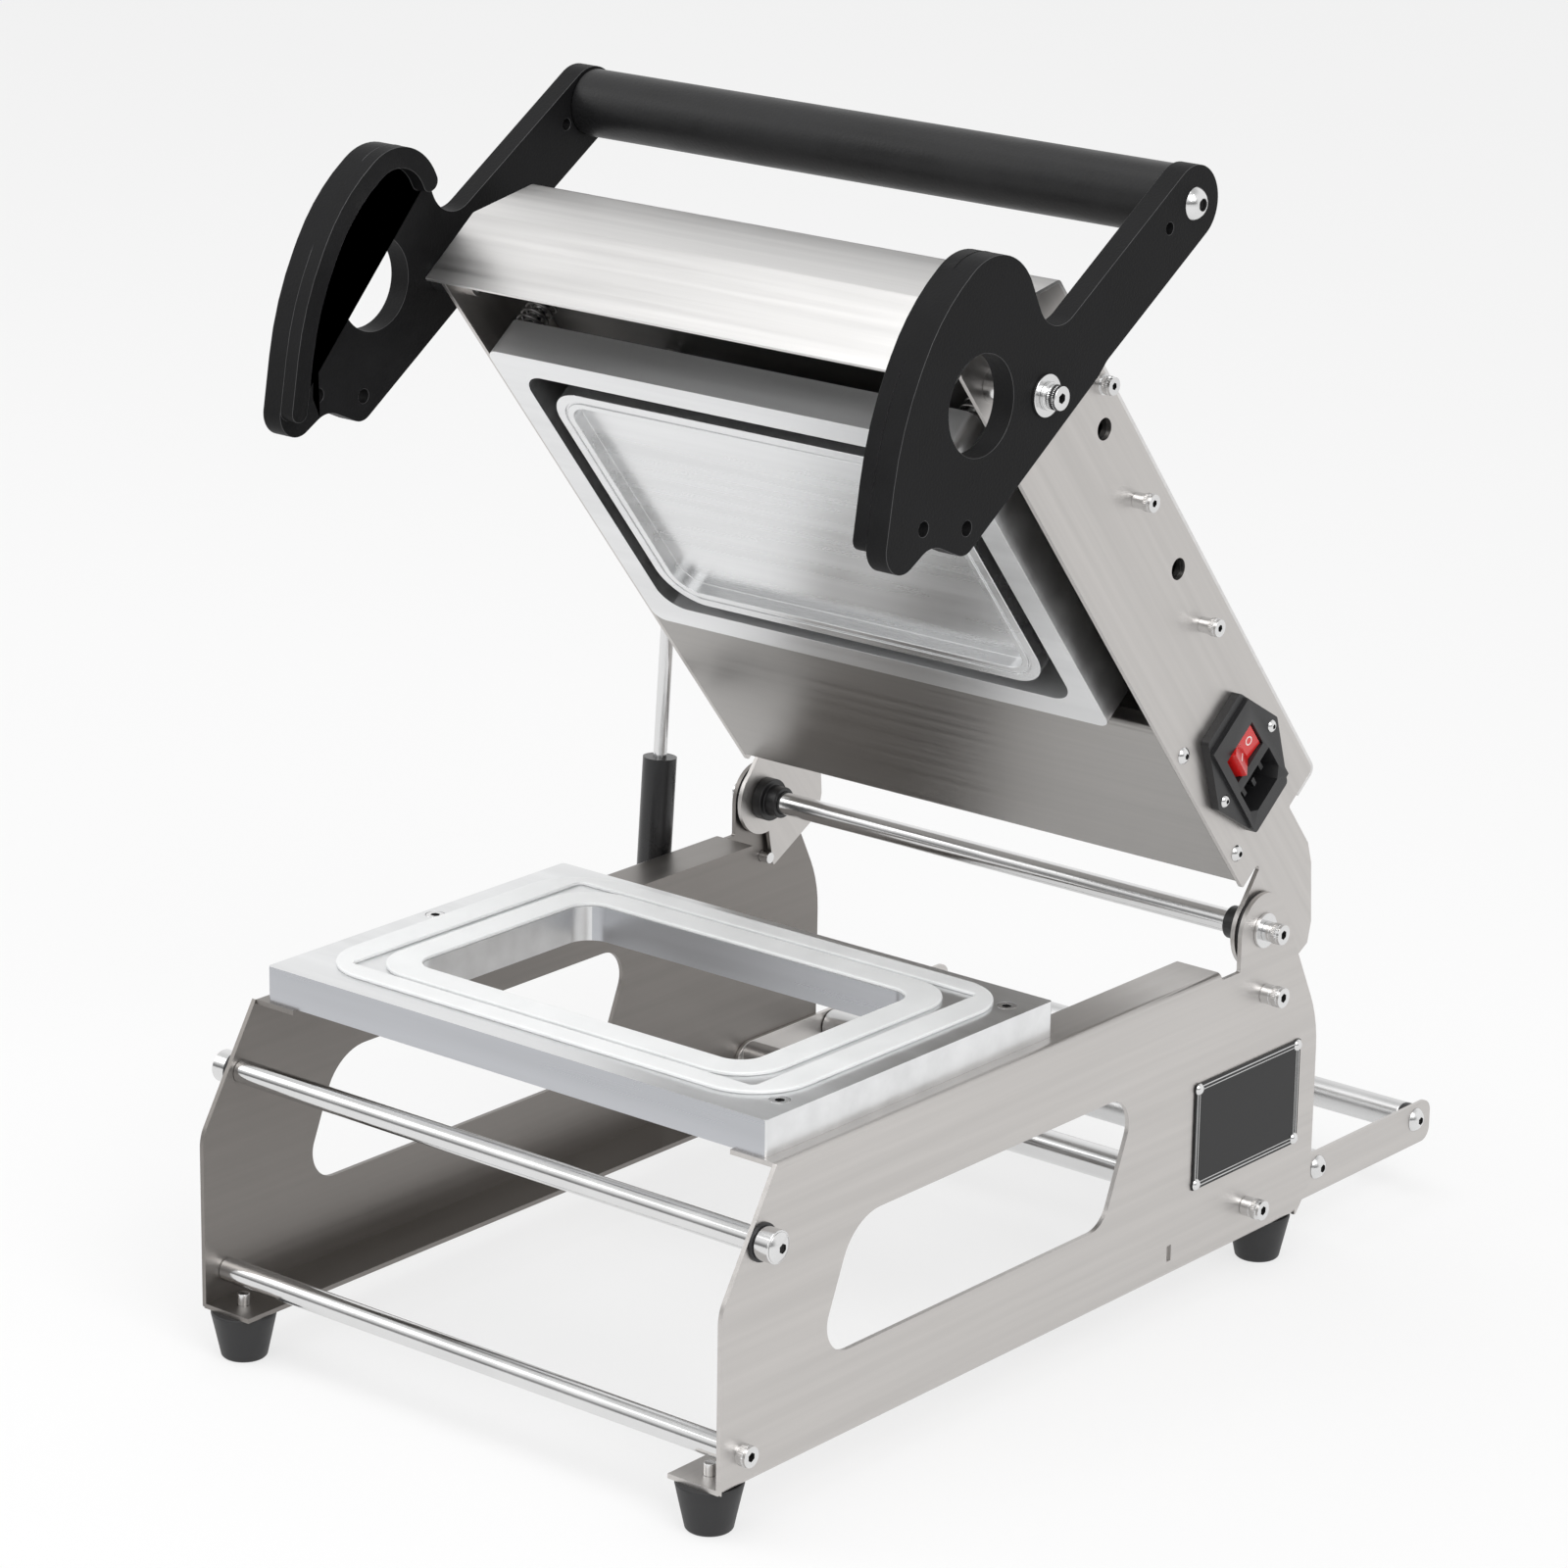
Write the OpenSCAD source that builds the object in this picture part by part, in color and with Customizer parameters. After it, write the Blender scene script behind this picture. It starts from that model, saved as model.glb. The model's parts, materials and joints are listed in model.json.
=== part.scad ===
// Hand operated tray sealer: a stainless base with an aluminium tray mould, a head that folds
// down on a rear hinge with a sprung heated mould, and a pair of latch levers joined by a handle.
// Millimetres. X to the right, Y to the rear, Z up. The origin lies on the ground, midway between
// the four feet. The head is drawn open, as it rests on its gas strut.

/* [Base frame] */
// Width over the two side plates
base_w = 275; // [268:1:290]
// Thickness of the folded sheet of the side plates
sheet_t = 2; // [1.5:0.5:2.5]
// Height of the straight top edge over the bottom edge
deck_h = 125; // [115:1:140]
// Height of the upright front edge below the top edge
front_drop = 51; // [48:1:56]
// Depth of the sloped front corner
front_slope = 31; // [27:1:33]
// Radius of the ear that carries the hinge
ear_r = 16; // [15:0.5:17]
// Depth of the side plates behind the hinge axis
base_tail = 43; // [40:1:46]
// Hinge axis over the top edge
hinge_rise = 11.5; // [11:0.5:13]
// Width of the flange that carries the lower mould
top_flange_w = 23; // [20:1:25]
// Width of the flange that carries the feet
foot_flange_w = 26; // [24:1:30]

/* [Side window] */
// Front end of the window at its bottom edge
window_front = 56; // [50:1:60]
// Rear end of the window's bottom edge in front of the hinge axis
window_rear_gap = 107; // [100:1:120]
// Bottom edge of the window
window_low = 36; // [32:1:40]
// Top edge of the window below the top edge of the plate
window_drop = 35.5; // [33:0.5:40]
// How far both ends lean to the rear
window_lean = 22; // [15:1:24]

/* [Rods and rollers] */
// Diameter of the front rods and of the hinge shaft
rod_d = 10; // [9:0.5:11]
// Place of the upper front rod behind the front edge
upper_rod_y = 22.4; // [21:0.1:23]
// Upper front rod below the top edge of the plates
upper_rod_drop = 28.5; // [28:0.5:30]
// Place of the lower front rod behind the front edge
lower_rod_y = 12.4; // [10:0.1:14]
// Height of the lower front rod
lower_rod_z = 13.6; // [13:0.1:18]
// Diameter of the latch rollers
latch_roller_d = 13.5; // [12:0.5:13.5]
// Diameter of the rear tie rod and of the front film roller
tie_d = 14; // [12:0.5:16]
// Diameter of the rear film roller
rear_roller_d = 13; // [12:0.5:15]

/* [Film arms] */
// Height of a film arm
arm_h = 19; // [18:0.5:22]
// Tie rod that carries the arms, in front of the rear edge of the plates
tie_inset = 48.5; // [46:0.5:52]
// Height of the tie rod and of the film rollers
tie_z = 15.5; // [15:0.5:18]
// Front film roller behind the rear edge of the plates
front_roller_out = 8.5; // [8:0.5:14]
// Distance between the two film rollers
roller_pitch = 76; // [60:1:90]
// Length of an arm past the rear roller
arm_end = 11.5; // [10:0.5:15]

/* [Feet] */
// Height of a foot
foot_h = 20; // [15:1:30]
// Diameter of a foot at its top
foot_top_d = 27; // [24:1:27]
// Diameter of a foot at the ground
foot_end_d = 19; // [17:1:22]
// Middle of a foot from the outer face of its side plate
foot_inset = 13.5; // [13.5:0.5:14.5]
// Front feet behind the front edge
foot_front_y = 10; // [9:1:20]
// Rear feet in front of the rear edge
foot_rear_inset = 18; // [17:1:25]

/* [Lower mould] */
// Gap between the mould block and a closed head plate
mould_gap = 1.7; // [1:0.1:3]
// Depth of the mould block
mould_d = 178; // [165:1:200]
// Front face of the mould block behind the front edge
mould_y = 32.7; // [32:0.1:36]
// Thickness of the mould block
mould_h = 15; // [12:0.5:15]
// Height of the silicone gaskets over the block
gasket_h = 1.6; // [1.4:0.1:1.7]
// Width of the inner gasket, which carries the tray lip
lip_w = 13.7; // [12:0.1:15]
// Corner radius of the tray opening
opening_r = 11; // [8:1:13]

/* [Head] */
// Length of the head in front of the pressing frame
head_nose = 36.25; // [36:0.25:40]
// Gap between the pressing frame and the bottom cover
frame_rear_gap = 8.95; // [8:0.05:12]
// Top of the head over the hinge
head_top = 67.5; // [66:0.5:72]
// Bottom edge of the head plates over the hinge
head_low = 3.5; // [3:0.5:5]
// Thickness of the sheet of the covers
cover_t = 1.5; // [1:0.5:1.5]
// Angle between the open and the closed head
open_angle = 51.5; // [48:0.5:55]

/* [Upper mould] */
// Height of the pressing frame
frame_h = 17.5; // [14:0.5:18]
// Width of the bars of the pressing frame
frame_bar = 12.3; // [12:0.1:13]
// Gap between the sealing plate and the frame on the left and right
plate_gap_x = 7.7; // [7:0.1:10]
// Gap between the sealing plate and the frame at the front and rear
plate_gap_y = 6.85; // [6:0.05:9]
// Thickness of the sealing plate
plate_h = 12; // [10:0.5:13]
// How far the pressing frame hangs under the head plates
frame_drop = 8.4; // [8:0.1:9]
// How far the sealing plate hangs under the head plates
plate_drop = 8.5; // [7:0.5:9]

/* [Springs] */
// Diameter of the spring wire
wire_d = 1.4; // [1.2:0.1:1.6]
// Mean diameter of the coils
coil_d = 11; // [10:0.5:12]
// Turns of a pressing frame spring
frame_turns = 7; // [5:1:7]
// Turns of a sealing plate spring
plate_turns = 6; // [4:1:6]

/* [Latch levers] */
// Pivot of the levers behind the front face of the head
pivot_inset = 19.5; // [18.5:0.5:20.5]
// Pivot of the levers over the hinge, head closed
pivot_z = 15; // [14:0.5:16]
// Pivot to the axis of the handle bar
handle_reach = 109.5; // [100:0.5:125]
// Diameter of the handle bar
handle_d = 28; // [24:1:29]
// Width of the lever arms
lever_arm_w = 30; // [30:1:33]
// Thickness of the lever plate
web_t = 9.5; // [8:0.5:11]
// Width of the raised rim of the hook
hook_rim_w = 8.5; // [7:0.5:8.5]
// Height of the raised rim of the hook
hook_rim_h = 6.5; // [6:0.5:7]

/* [Gas strut] */
// Diameter of the strut cylinder
strut_d = 15; // [13:0.5:16]
// Diameter of the strut rod
strut_rod_d = 6; // [5:0.5:8]
// Length of the cylinder from its lower pivot
strut_body = 139; // [125:1:140]
// Lower pivot in front of the hinge axis
strut_low_gap = 63.5; // [60:0.5:66]
// Lower pivot over the bottom edge
strut_low_z = 26; // [24:1:28]
// Upper pivot in front of the hinge, head closed
strut_up_y = 119.5; // [118:0.5:121]
// Upper pivot over the hinge, head closed
strut_up_z = 35.5; // [34:0.5:37]

/* [Power inlet] */
// Length of the inlet flange along the head
inlet_l = 59.5; // [58:0.5:61]
// Width of the inlet flange over its two ears
inlet_w = 50; // [50:0.5:52]
// Distance between the two inlet screws
inlet_pitch = 40; // [39:0.5:41]

/* [Fits] */
// Radial clearance of a running fit
run_fit = 0.05; // [0.03:0.01:0.1]
// Radial clearance of a screw in its hole
screw_fit = 0.15; // [0.1:0.05:0.2]
// Gap between faces that must not touch
face_gap = 0.3; // [0.2:0.1:0.5]

/* [Hidden] */

$fn = 48;
// Largest turn between two points of a rounded corner, in degrees
arc_step = 6;
// Length by which a cut runs past the face that it opens
over = 1;

// Places across the machine, from the middle outwards
base_half = base_w / 2;
base_in = base_half - sheet_t;
ear_gap = 1.5;
head_half = base_in - ear_gap;
head_in = head_half - sheet_t;
foot_x = base_half - foot_inset;
mould_w = 2 * (head_in - mould_gap);
rim_room = 4.75;
hook_in = base_half + rim_room;
web_in = hook_in + hook_rim_h;
web_out = web_in + web_t;

// Sizes of the moulds, from the outside inwards: frame, plate, inner gasket, opening
frame_border_x = 10.3;
frame_border_y = 2.85;
gasket_over_plate = 1;
frame_w = mould_w - 2 * frame_border_x;
frame_d = mould_d - 2 * frame_border_y;
plate_w = frame_w - 2 * frame_bar - 2 * plate_gap_x;
plate_d = frame_d - 2 * frame_bar - 2 * plate_gap_y;
lip_ring_w = plate_w + 2 * gasket_over_plate;
lip_ring_d = plate_d;
opening_w = lip_ring_w - 2 * lip_w;
opening_d = lip_ring_d - 2 * lip_w;

// Places from the front to the rear: the closed upper mould lies over the tray opening
opening_slip = 2.7;
bottom_front = 127.5;
opening_mid_y = mould_y + mould_d / 2 + opening_slip;
hinge_y = opening_mid_y + frame_d / 2 + frame_rear_gap + bottom_front;
hinge_z = deck_h + hinge_rise;
head_front = bottom_front + frame_rear_gap + frame_d + head_nose;
pivot_y = head_front - pivot_inset;
base_d = hinge_y + base_tail;
front_h = deck_h - front_drop;
window_rear = hinge_y - window_rear_gap;
window_top = deck_h - window_drop;
upper_rod_z = deck_h - upper_rod_drop;
tie_y = base_d - tie_inset;
front_roller_y = base_d + front_roller_out;
rear_roller_y = front_roller_y + roller_pitch;
strut_low_y = hinge_y - strut_low_gap;
foot_rear_y = base_d - foot_rear_inset;
foot_mid_y = (foot_front_y + foot_rear_y) / 2;

// Socket cap bolts of the frame: shank, head, key and how deep the key goes
bolt_d = 5;
bolt_head_d = 8.5;
bolt_head_h = 5;
bolt_key = 4;
bolt_key_h = 2.5;
bolt_grip = 14;
bolt_collar_l = 4.5;
hinge_collar_l = 3.5;
bolt_hole = bolt_d + 2 * screw_fit;

// Side plate outline
corner_r = 17;
edge_r = 1;
ear_notch = 3;
ear_notch_l = 13;
ear_notch_y = hinge_y - ear_r - ear_notch_l;
rear_lean = 63.5;
rear_r = 55;
heel_y = 10;
heel_z = 12;
window_low_r = 13;
window_front_r = 24;
bend_r = 3;
slot_gap = 60;
slot_y = hinge_y - slot_gap;
slot_z = 10.5;
slot_w = 3;
slot_h = 7;
stop_back = 2.7;
stop_drop = 28.5;
stop_y = hinge_y + stop_back;
stop_z = hinge_z - stop_drop;
stop_reach = 5;

// Feet and their screws
foot_edge = 0.8;
foot_recess_d = 13;
foot_recess_h = 4;
foot_seat_d = 12;
foot_seat_h = 4;
foot_head_d = 11;
foot_head_h = 3.5;
foot_screw_over = 5;

// Latch roller stack
latch_washer_t = 1.3;
latch_washer_d = 15.5;
latch_roller_l = 7.1;
latch_head_d = 12.4;
latch_head_h = 2.2;
latch_key = 4;
latch_key_h = 1.4;
latch_screw_l = 26;

// Hinge
hinge_washer_d = 15;
hinge_washer_t = 1.5;
bush_flange_d = 19;
bush_flange_l = 5;
bush_nose_d = 14;
bush_nose_l = 6;
bush_spigot_d = 16;

// Data plate
label_gap = 13;
label_z = 34;
label_w = 75.5;
label_y = base_d - label_gap - label_w;
label_h = 46.5;
label_t = 0.8;
rivet_d = 5.2;
rivet_h = 1.6;
rivet_pin_d = 2.4;
rivet_inset = 2.2;

// Film arms and rollers
arm_in = base_in - sheet_t;
arm_corner_r = 6;
arm_drop = 2.25;
arm_mid_z = tie_z - arm_drop;
shaft_d = 8;
roller_screw_d = 5;
roller_head_d = 11;
roller_head_h = 3.2;
roller_key = 3.5;
roller_key_h = 1.8;
roller_screw_l = 14;
roller_bush_l = 4;

// Lower mould
block_r = 1.5;
room_x = 4.5;
room_y = 2.2;
room_r = 2.5;
band_x = 13.5;
band_y = 10.3;
band_r = 26;
lip_ring_r = 22;
mould_mid_y = mould_y + mould_d / 2;
mould_screw_d = 5;
mould_screw_head = 8;
mould_screw_head_h = 2.6;
mould_screw_key = 4;
mould_screw_key_h = 1.8;
mould_screw_l = 17;
mould_screw_inset_x = 5.5;
mould_screw_shift = 4;
mould_screw_front = 20.6;
mould_screw_rear = 16.7;
mould_screw_x = base_half - top_flange_w + mould_screw_inset_x;
mould_screw_far_x = mould_screw_x + mould_screw_shift;
mould_screw_ys = [mould_y + mould_screw_front, mould_y + mould_d - mould_screw_rear];

// Head, seen in its closed place from the hinge
head_rear = 24;
bevel_h = 32.8;
bevel_d = 17.5;
cover_low = -1.6;
cover_lip = 15;
cover_r = 3;
head_corner_r = 4;
lobe_r = 16.5;
slit_w = 3.2;
slit_y = 21.7;
slit_top = 14.6;
tail_low = 45.5;
tail_knee_y = 8.5;
tail_knee_z = 42;
tail_back_y = 30.5;
tail_back_z = 27;
tail_end_y = 36.2;
tail_end_z = 19.6;
tail_reach = 34;
// Edge of the tail that meets the shank of the stop bolt when the head is open
stop_r = norm([stop_y - hinge_y, stop_z - hinge_z]);
stop_dir = atan2(stop_z - hinge_z, stop_y - hinge_y);
tail_dir = stop_dir + asin((bolt_d / 2 + face_gap) / stop_r) + open_angle;
vent_d = 9;
vent_front_gap = 87.5;
vent_rear_gap = 45;
vent_drop = 15;
vents = [[vent_front_gap - head_front, head_top - vent_drop],
    [-bottom_front - vent_rear_gap, head_top - vent_drop]];
carrier_bolt_front = 127;
carrier_bolt_rear = 13;
carrier_bolt_drop = 17.5;
carrier_bolt_ys = [carrier_bolt_front - head_front, -bottom_front - carrier_bolt_rear];
carrier_bolt_z = head_top - carrier_bolt_drop;
cover_bolt_back = 71;
cover_bolt_drop = 6;
cover_bolt_y = cover_bolt_back - head_front;
cover_bolt_z = head_top - cover_bolt_drop;
nut_boss_d = 11;
nut_boss_h = 5;
collar_d = 6.5;
collar_h = 4.5;
side_bolt_d = 4;
side_head_d = 7.2;
side_head_h = 4.5;
side_key = 3;
side_key_h = 2.5;
black_washer_d = 8.4;
black_washer_t = 2;

// Bottom cover
bottom_flange = 8;
cover_screw_front = 22.5;
cover_screw_rear = 15.5;
cover_screw_up = 6;
cover_screw_ys = [cover_screw_front - bottom_front, -head_rear - cover_screw_rear];
cover_screw_z = head_low + cover_screw_up;
cover_screw_d = 4;
cover_screw_head = 7.5;
cover_screw_head_h = 2.2;
cover_screw_key = 2.5;
cover_screw_key_h = 1.3;
cover_screw_l = 8;

// Carrier plate over the upper mould
carrier_t = 2.5;
carrier_z = 38;
carrier_border_front = 5.25;
carrier_border_rear = 5.45;
carrier_front = bottom_front + frame_rear_gap + frame_d + carrier_border_front;
carrier_rear = bottom_front + frame_rear_gap - carrier_border_rear;
carrier_flange = 21;
carrier_slack = 0.1;
carrier_r = 3;
tab_room = 26;
cover_tab_w = 20;

// Upper mould
frame_mid_y = -(bottom_front + frame_rear_gap + frame_d / 2);
frame_r = 6;
frame_window_r = 11.5;
frame_z = head_low - frame_drop;
plate_r = 19.5;
plate_z = head_low - plate_drop;
groove_inset = 4.4;
groove_w = 1.1;
groove_depth = 0.8;
pan_inset = 8.5;
pan_depth = 5.3;
pan_r = 11;
// Closed place of both, held off the gaskets by the face gap
rim_top = deck_h + mould_h + gasket_h - hinge_z;
frame_travel = rim_top + face_gap - frame_z;
plate_travel = rim_top + face_gap - plate_z;
guide_d = 6;
guide_head_d = 10;
guide_head_h = 4;
guide_depth = 6;
guide_fit = 0.2;
frame_guide_inset = 6.2;
plate_guide_inset_x = 32;
plate_guide_inset_y = 20;
heater_h = 5;
heater_inset_x = 19;
heater_inset_y = 29;
heater_r = 6;
heater_tab_w = 6;
heater_tab_h = 4;

// Levers, drawn in the orientation that they have with the head open
handle_dir = 32.5;
lever_screw_dir = 33;
arm_turn = 0.8;
latch_y = hinge_y - pivot_y - upper_rod_y;
latch_z = hinge_z + pivot_z - upper_rod_z;
latch_r = norm([latch_y, latch_z]);
// Corners of the hook as shares of the latch radius: across, up, corner radius
mouth_shares = [0.051, 0.344, 0.255];
hook_top_shares = [-0.395, 1.253, 0.45];
hook_mid_shares = [-1.147, 0.767, 1.5];
hook_front_shares = [-1.564, 0.038, 2.25];
front_lobe_shares = [-1.76, -1.12, 0.18];
valley_shares = [-1.215, -0.811, 0.22];
rear_lobe_shares = [-0.847, -0.976, 0.145];
step_low_shares = [0.6, 0.02, 0.03];
step_high_shares = [0.705, 0.123, 0.03];
rim_tip_shares = [-0.133, 0.718, 0.069];
rim_end_shares = [-1.705, -0.8, 0.073];
hook_hole_shares = [-0.707, 0.049];
hook_hole_share = 0.71;
spot_a_shares = [-1.305, -0.685];
spot_b_shares = [-0.835, -0.771];
spot_share = 0.11;
arm_spot_back = 17.5;
arm_spot_side = 3;
arm_spot_d = 5;
pivot_bolt_d = 8;
pivot_head_d = 9.4;
pivot_head_h = 5;
pivot_key = 4;
pivot_key_h = 3;
pivot_collar_d = 11;
pivot_collar_h = 1.6;
pivot_washer_d = 16.5;
pivot_washer_t = 1.4;
spacer_d = 14;
handle_screw_d = 8;
handle_head_d = 13.5;
handle_head_h = 4.2;
handle_key = 5;
handle_key_h = 2.4;
handle_screw_l = 30;
handle_bore_l = 24;

// Gas strut
strut_out = 10.5;
strut_x = -(base_half + strut_out);
strut_eye_d = 12;
strut_eye_t = 9;
strut_neck_d = 8;
strut_neck_l = 11;
stud_d = 6;
stud_flange_d = 11;
stud_flange_t = 2;
stud_cap_t = 1.2;
stud_cap_d = 9;
stud_nut_d = 10;
stud_nut_h = 5;
stud_end_gap = 1;
strut_bore_clear = 1.5;
strut_cap_h = 5;
strut_low = [strut_low_y, strut_low_z];
strut_up = [hinge_y - strut_up_y * cos(open_angle) + strut_up_z * sin(open_angle),
    hinge_z + strut_up_y * sin(open_angle) + strut_up_z * cos(open_angle)];
strut_len = norm(strut_up - strut_low);
strut_lean = atan2(strut_up[0] - strut_low[0], strut_up[1] - strut_low[1]);
strut_up_closed = [hinge_y - strut_up_y, hinge_z + strut_up_z];
strut_len_closed = norm(strut_up_closed - strut_low);
strut_lean_closed = atan2(strut_up_closed[0] - strut_low[0], strut_up_closed[1] - strut_low[1]);
strut_rod_hold = 40;
strut_rod_in = strut_body - strut_rod_hold;

// Power inlet
inlet_y = -70.5;
inlet_z = 34;
inlet_t = 4;
inlet_end_w = 27;
inlet_r = 2;
inlet_body_l = 47;
inlet_body_w = 27.5;
inlet_body_h = 24;
inlet_wall = 1.5;
inlet_raise = 1.6;
inlet_frame_l = 50;
inlet_frame_w = 30;
rocker_y = -8;
rocker_l = 21;
rocker_w = 13.5;
rocker_pin_d = 3;
rocker_pin_x = 3.5;
rocker_tilt = 11;
rocker_rise = 6.2;
rocker_low_share = 0.97;
rocker_top_share = 0.82;
rocker_dip_share = 0.6;
rocker_hub_r = 4.5;
socket_y = 12;
socket_l = 24.5;
socket_w = 16.5;
socket_depth = 16;
socket_cut = 4;
pin_l = 12;
pin_w = 4;
pin_t = 2;
pin_pitch = 7;
pin_side = 1;
tab_l = 8;
tab_w = 4.8;
tab_t = 0.8;
inlet_screw_d = 3;
inlet_screw_head = 5.5;
inlet_screw_head_h = 1.6;
inlet_screw_l = 12;
inlet_screw_key = 2;
inlet_screw_key_h = 0.9;

// Terminal block and leads on the bottom cover
block_l = 44;
block_w = 16;
block_h = 12;
block_x = 40;
block_y = -84;
block_way_d = 3.4;
block_ways = 4;
block_pitch = 10;
lead_d = 2.6;
lead_sides = 8;
lead_drop = 13;
lead_step = 3;

function unit(v) = v / norm(v);
function left_of(v) = [-v[1], v[0]];
function xy(p) = [p[0], p[1]];
function wrapped(a) = a > 180 ? a - 360 : a < -180 ? a + 360 : a;

// Points of a corner at b of the radius r, between the edges that come from a and go to c
function corner(a, b, c, r) =
    r <= 0 ? [b] :
    let (u = unit(a - b), v = unit(c - b), half = acos(u * v) / 2,
        mid = b + unit(u + v) * r / sin(half), from = b + u * r / tan(half) - mid,
        to = b + v * r / tan(half) - mid, start = atan2(from[1], from[0]),
        turn = wrapped(atan2(to[1], to[0]) - start), steps = ceil(abs(turn) / arc_step))
    [for (i = [0 : steps]) mid + r * [cos(start + turn * i / steps), sin(start + turn * i / steps)]];

// Closed outline through corners that are given as across, up, radius
function rounded(list) =
    [for (i = [0 : len(list) - 1])
        let (a = list[(i + len(list) - 1) % len(list)], b = list[i], c = list[(i + 1) % len(list)])
        each corner(xy(a), xy(b), xy(c), b[2])];

// An open chain of corners moved to its left by t
function moved(chain, t) =
    [for (i = [0 : len(chain) - 1])
        let (last = len(chain) - 1,
            d1 = unit(xy(chain[max(i, 1)]) - xy(chain[max(i, 1) - 1])),
            d2 = unit(xy(chain[min(i, last - 1) + 1]) - xy(chain[min(i, last - 1)])),
            n1 = left_of(d1), n2 = left_of(d2), bend = cross(d1, d2),
            p = xy(chain[i]) + t * (n1 + n2) / (1 + n1 * n2),
            r = i == 0 || i == last ? chain[i][2] : max(0, chain[i][2] - sign(bend) * t))
        [p[0], p[1], r]];

// Outline of a strip of the width t to the left of a chain
function strip(chain, t) =
    let (far = moved(chain, t))
    rounded(concat(chain, [for (i = [len(far) - 1 : -1 : 0]) far[i]]));

module on_base() translate([0, -foot_mid_y, foot_h]) children();
module on_head() on_base() translate([0, hinge_y, hinge_z]) rotate([-open_angle, 0, 0]) children();
module on_lever() on_head() translate([0, -pivot_y, pivot_z]) rotate([open_angle, 0, 0]) children();
module on_strut() on_base() translate([strut_x, strut_low_y, strut_low_z])
    rotate([-strut_lean, 0, 0]) children();
module both_sides() {
    children();
    mirror([1, 0, 0]) children();
}
module on_side(side) mirror([side > 0 ? 0 : 1, 0, 0]) children();

// Extrusion across the machine of an outline in the side view
module across(x, t) translate([x, 0, 0]) rotate([90, 0, 90]) linear_extrude(t) children();
// Extrusion to the rear of an outline in the front view
module rearward(y, l) translate([0, y + l, 0]) rotate([90, 0, 0]) linear_extrude(l) children();
// Turns what is drawn along Z to point outwards along X, at a place of the side view
module pointing_out(x, y, z) translate([x, y, z]) rotate([0, 90, 0]) children();
module bar(x, y, z, d, l) pointing_out(x, y, z) cylinder(d = d, h = l);

function box_corners(w, d, r) =
    rounded([[-w / 2, -d / 2, r], [w / 2, -d / 2, r], [w / 2, d / 2, r], [-w / 2, d / 2, r]]);
module slab(w, d, r, h) linear_extrude(h) polygon(box_corners(w, d, r));

// A screw along Z whose head rests on the plane z = 0
module cap_screw(d, l, head_d, head_h, key, key_h) {
    difference() {
        union() {
            translate([0, 0, -l]) cylinder(d = d, h = l);
            cylinder(d = head_d, h = head_h);
        }
        translate([0, 0, head_h - key_h]) cylinder(d = key, h = key_h + over, $fn = 6);
    }
}

// The same with a domed head
module dome_screw(d, l, head_d, head_h, key, key_h) {
    dome_r = (head_d * head_d / 4 + head_h * head_h) / (2 * head_h);
    difference() {
        union() {
            translate([0, 0, -l]) cylinder(d = d, h = l);
            intersection() {
                cylinder(d = head_d, h = head_h);
                translate([0, 0, head_h - dome_r]) sphere(r = dome_r);
            }
        }
        translate([0, 0, head_h - key_h]) cylinder(d = key, h = key_h + over, $fn = 6);
    }
}

module ring(d, bore, h) {
    difference() {
        cylinder(d = d, h = h);
        translate([0, 0, -over]) cylinder(d = bore, h = h + 2 * over);
    }
}

// Base frame

module side_outline() {
    tangent = [ear_r * sin(rear_lean), ear_r * cos(rear_lean)];
    rear_top = hinge_z + tangent[1] - (base_d - hinge_y - tangent[0]) * tan(rear_lean);
    difference() {
        union() {
            polygon(rounded([[0, 0, edge_r], [base_d - heel_y, 0, edge_r],
                [base_d, heel_z, edge_r], [base_d, rear_top, rear_r],
                [hinge_y + tangent[0], hinge_z + tangent[1], 0], [hinge_y - ear_r, hinge_z, 0],
                [hinge_y - ear_r, deck_h - ear_notch, edge_r],
                [ear_notch_y, deck_h - ear_notch, edge_r], [ear_notch_y, deck_h, edge_r],
                [front_slope, deck_h, edge_r], [0, front_h, corner_r]]));
            translate([hinge_y, hinge_z]) circle(r = ear_r);
        }
        polygon(rounded([[window_front, window_low, window_low_r],
            [window_rear, window_low, window_low_r],
            [window_rear + window_lean, window_top, window_low_r],
            [window_front + window_lean, window_top, window_front_r]]));
        translate([slot_y, slot_z]) square([slot_w, slot_h], center = true);
    }
}

// Material outside a bend of the radius r whose corner lies at the origin, in the front view
module bend_waste(r) {
    difference() {
        translate([-r, -r]) square(r + over);
        translate([-r, -r]) circle(r = r);
    }
}

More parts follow.
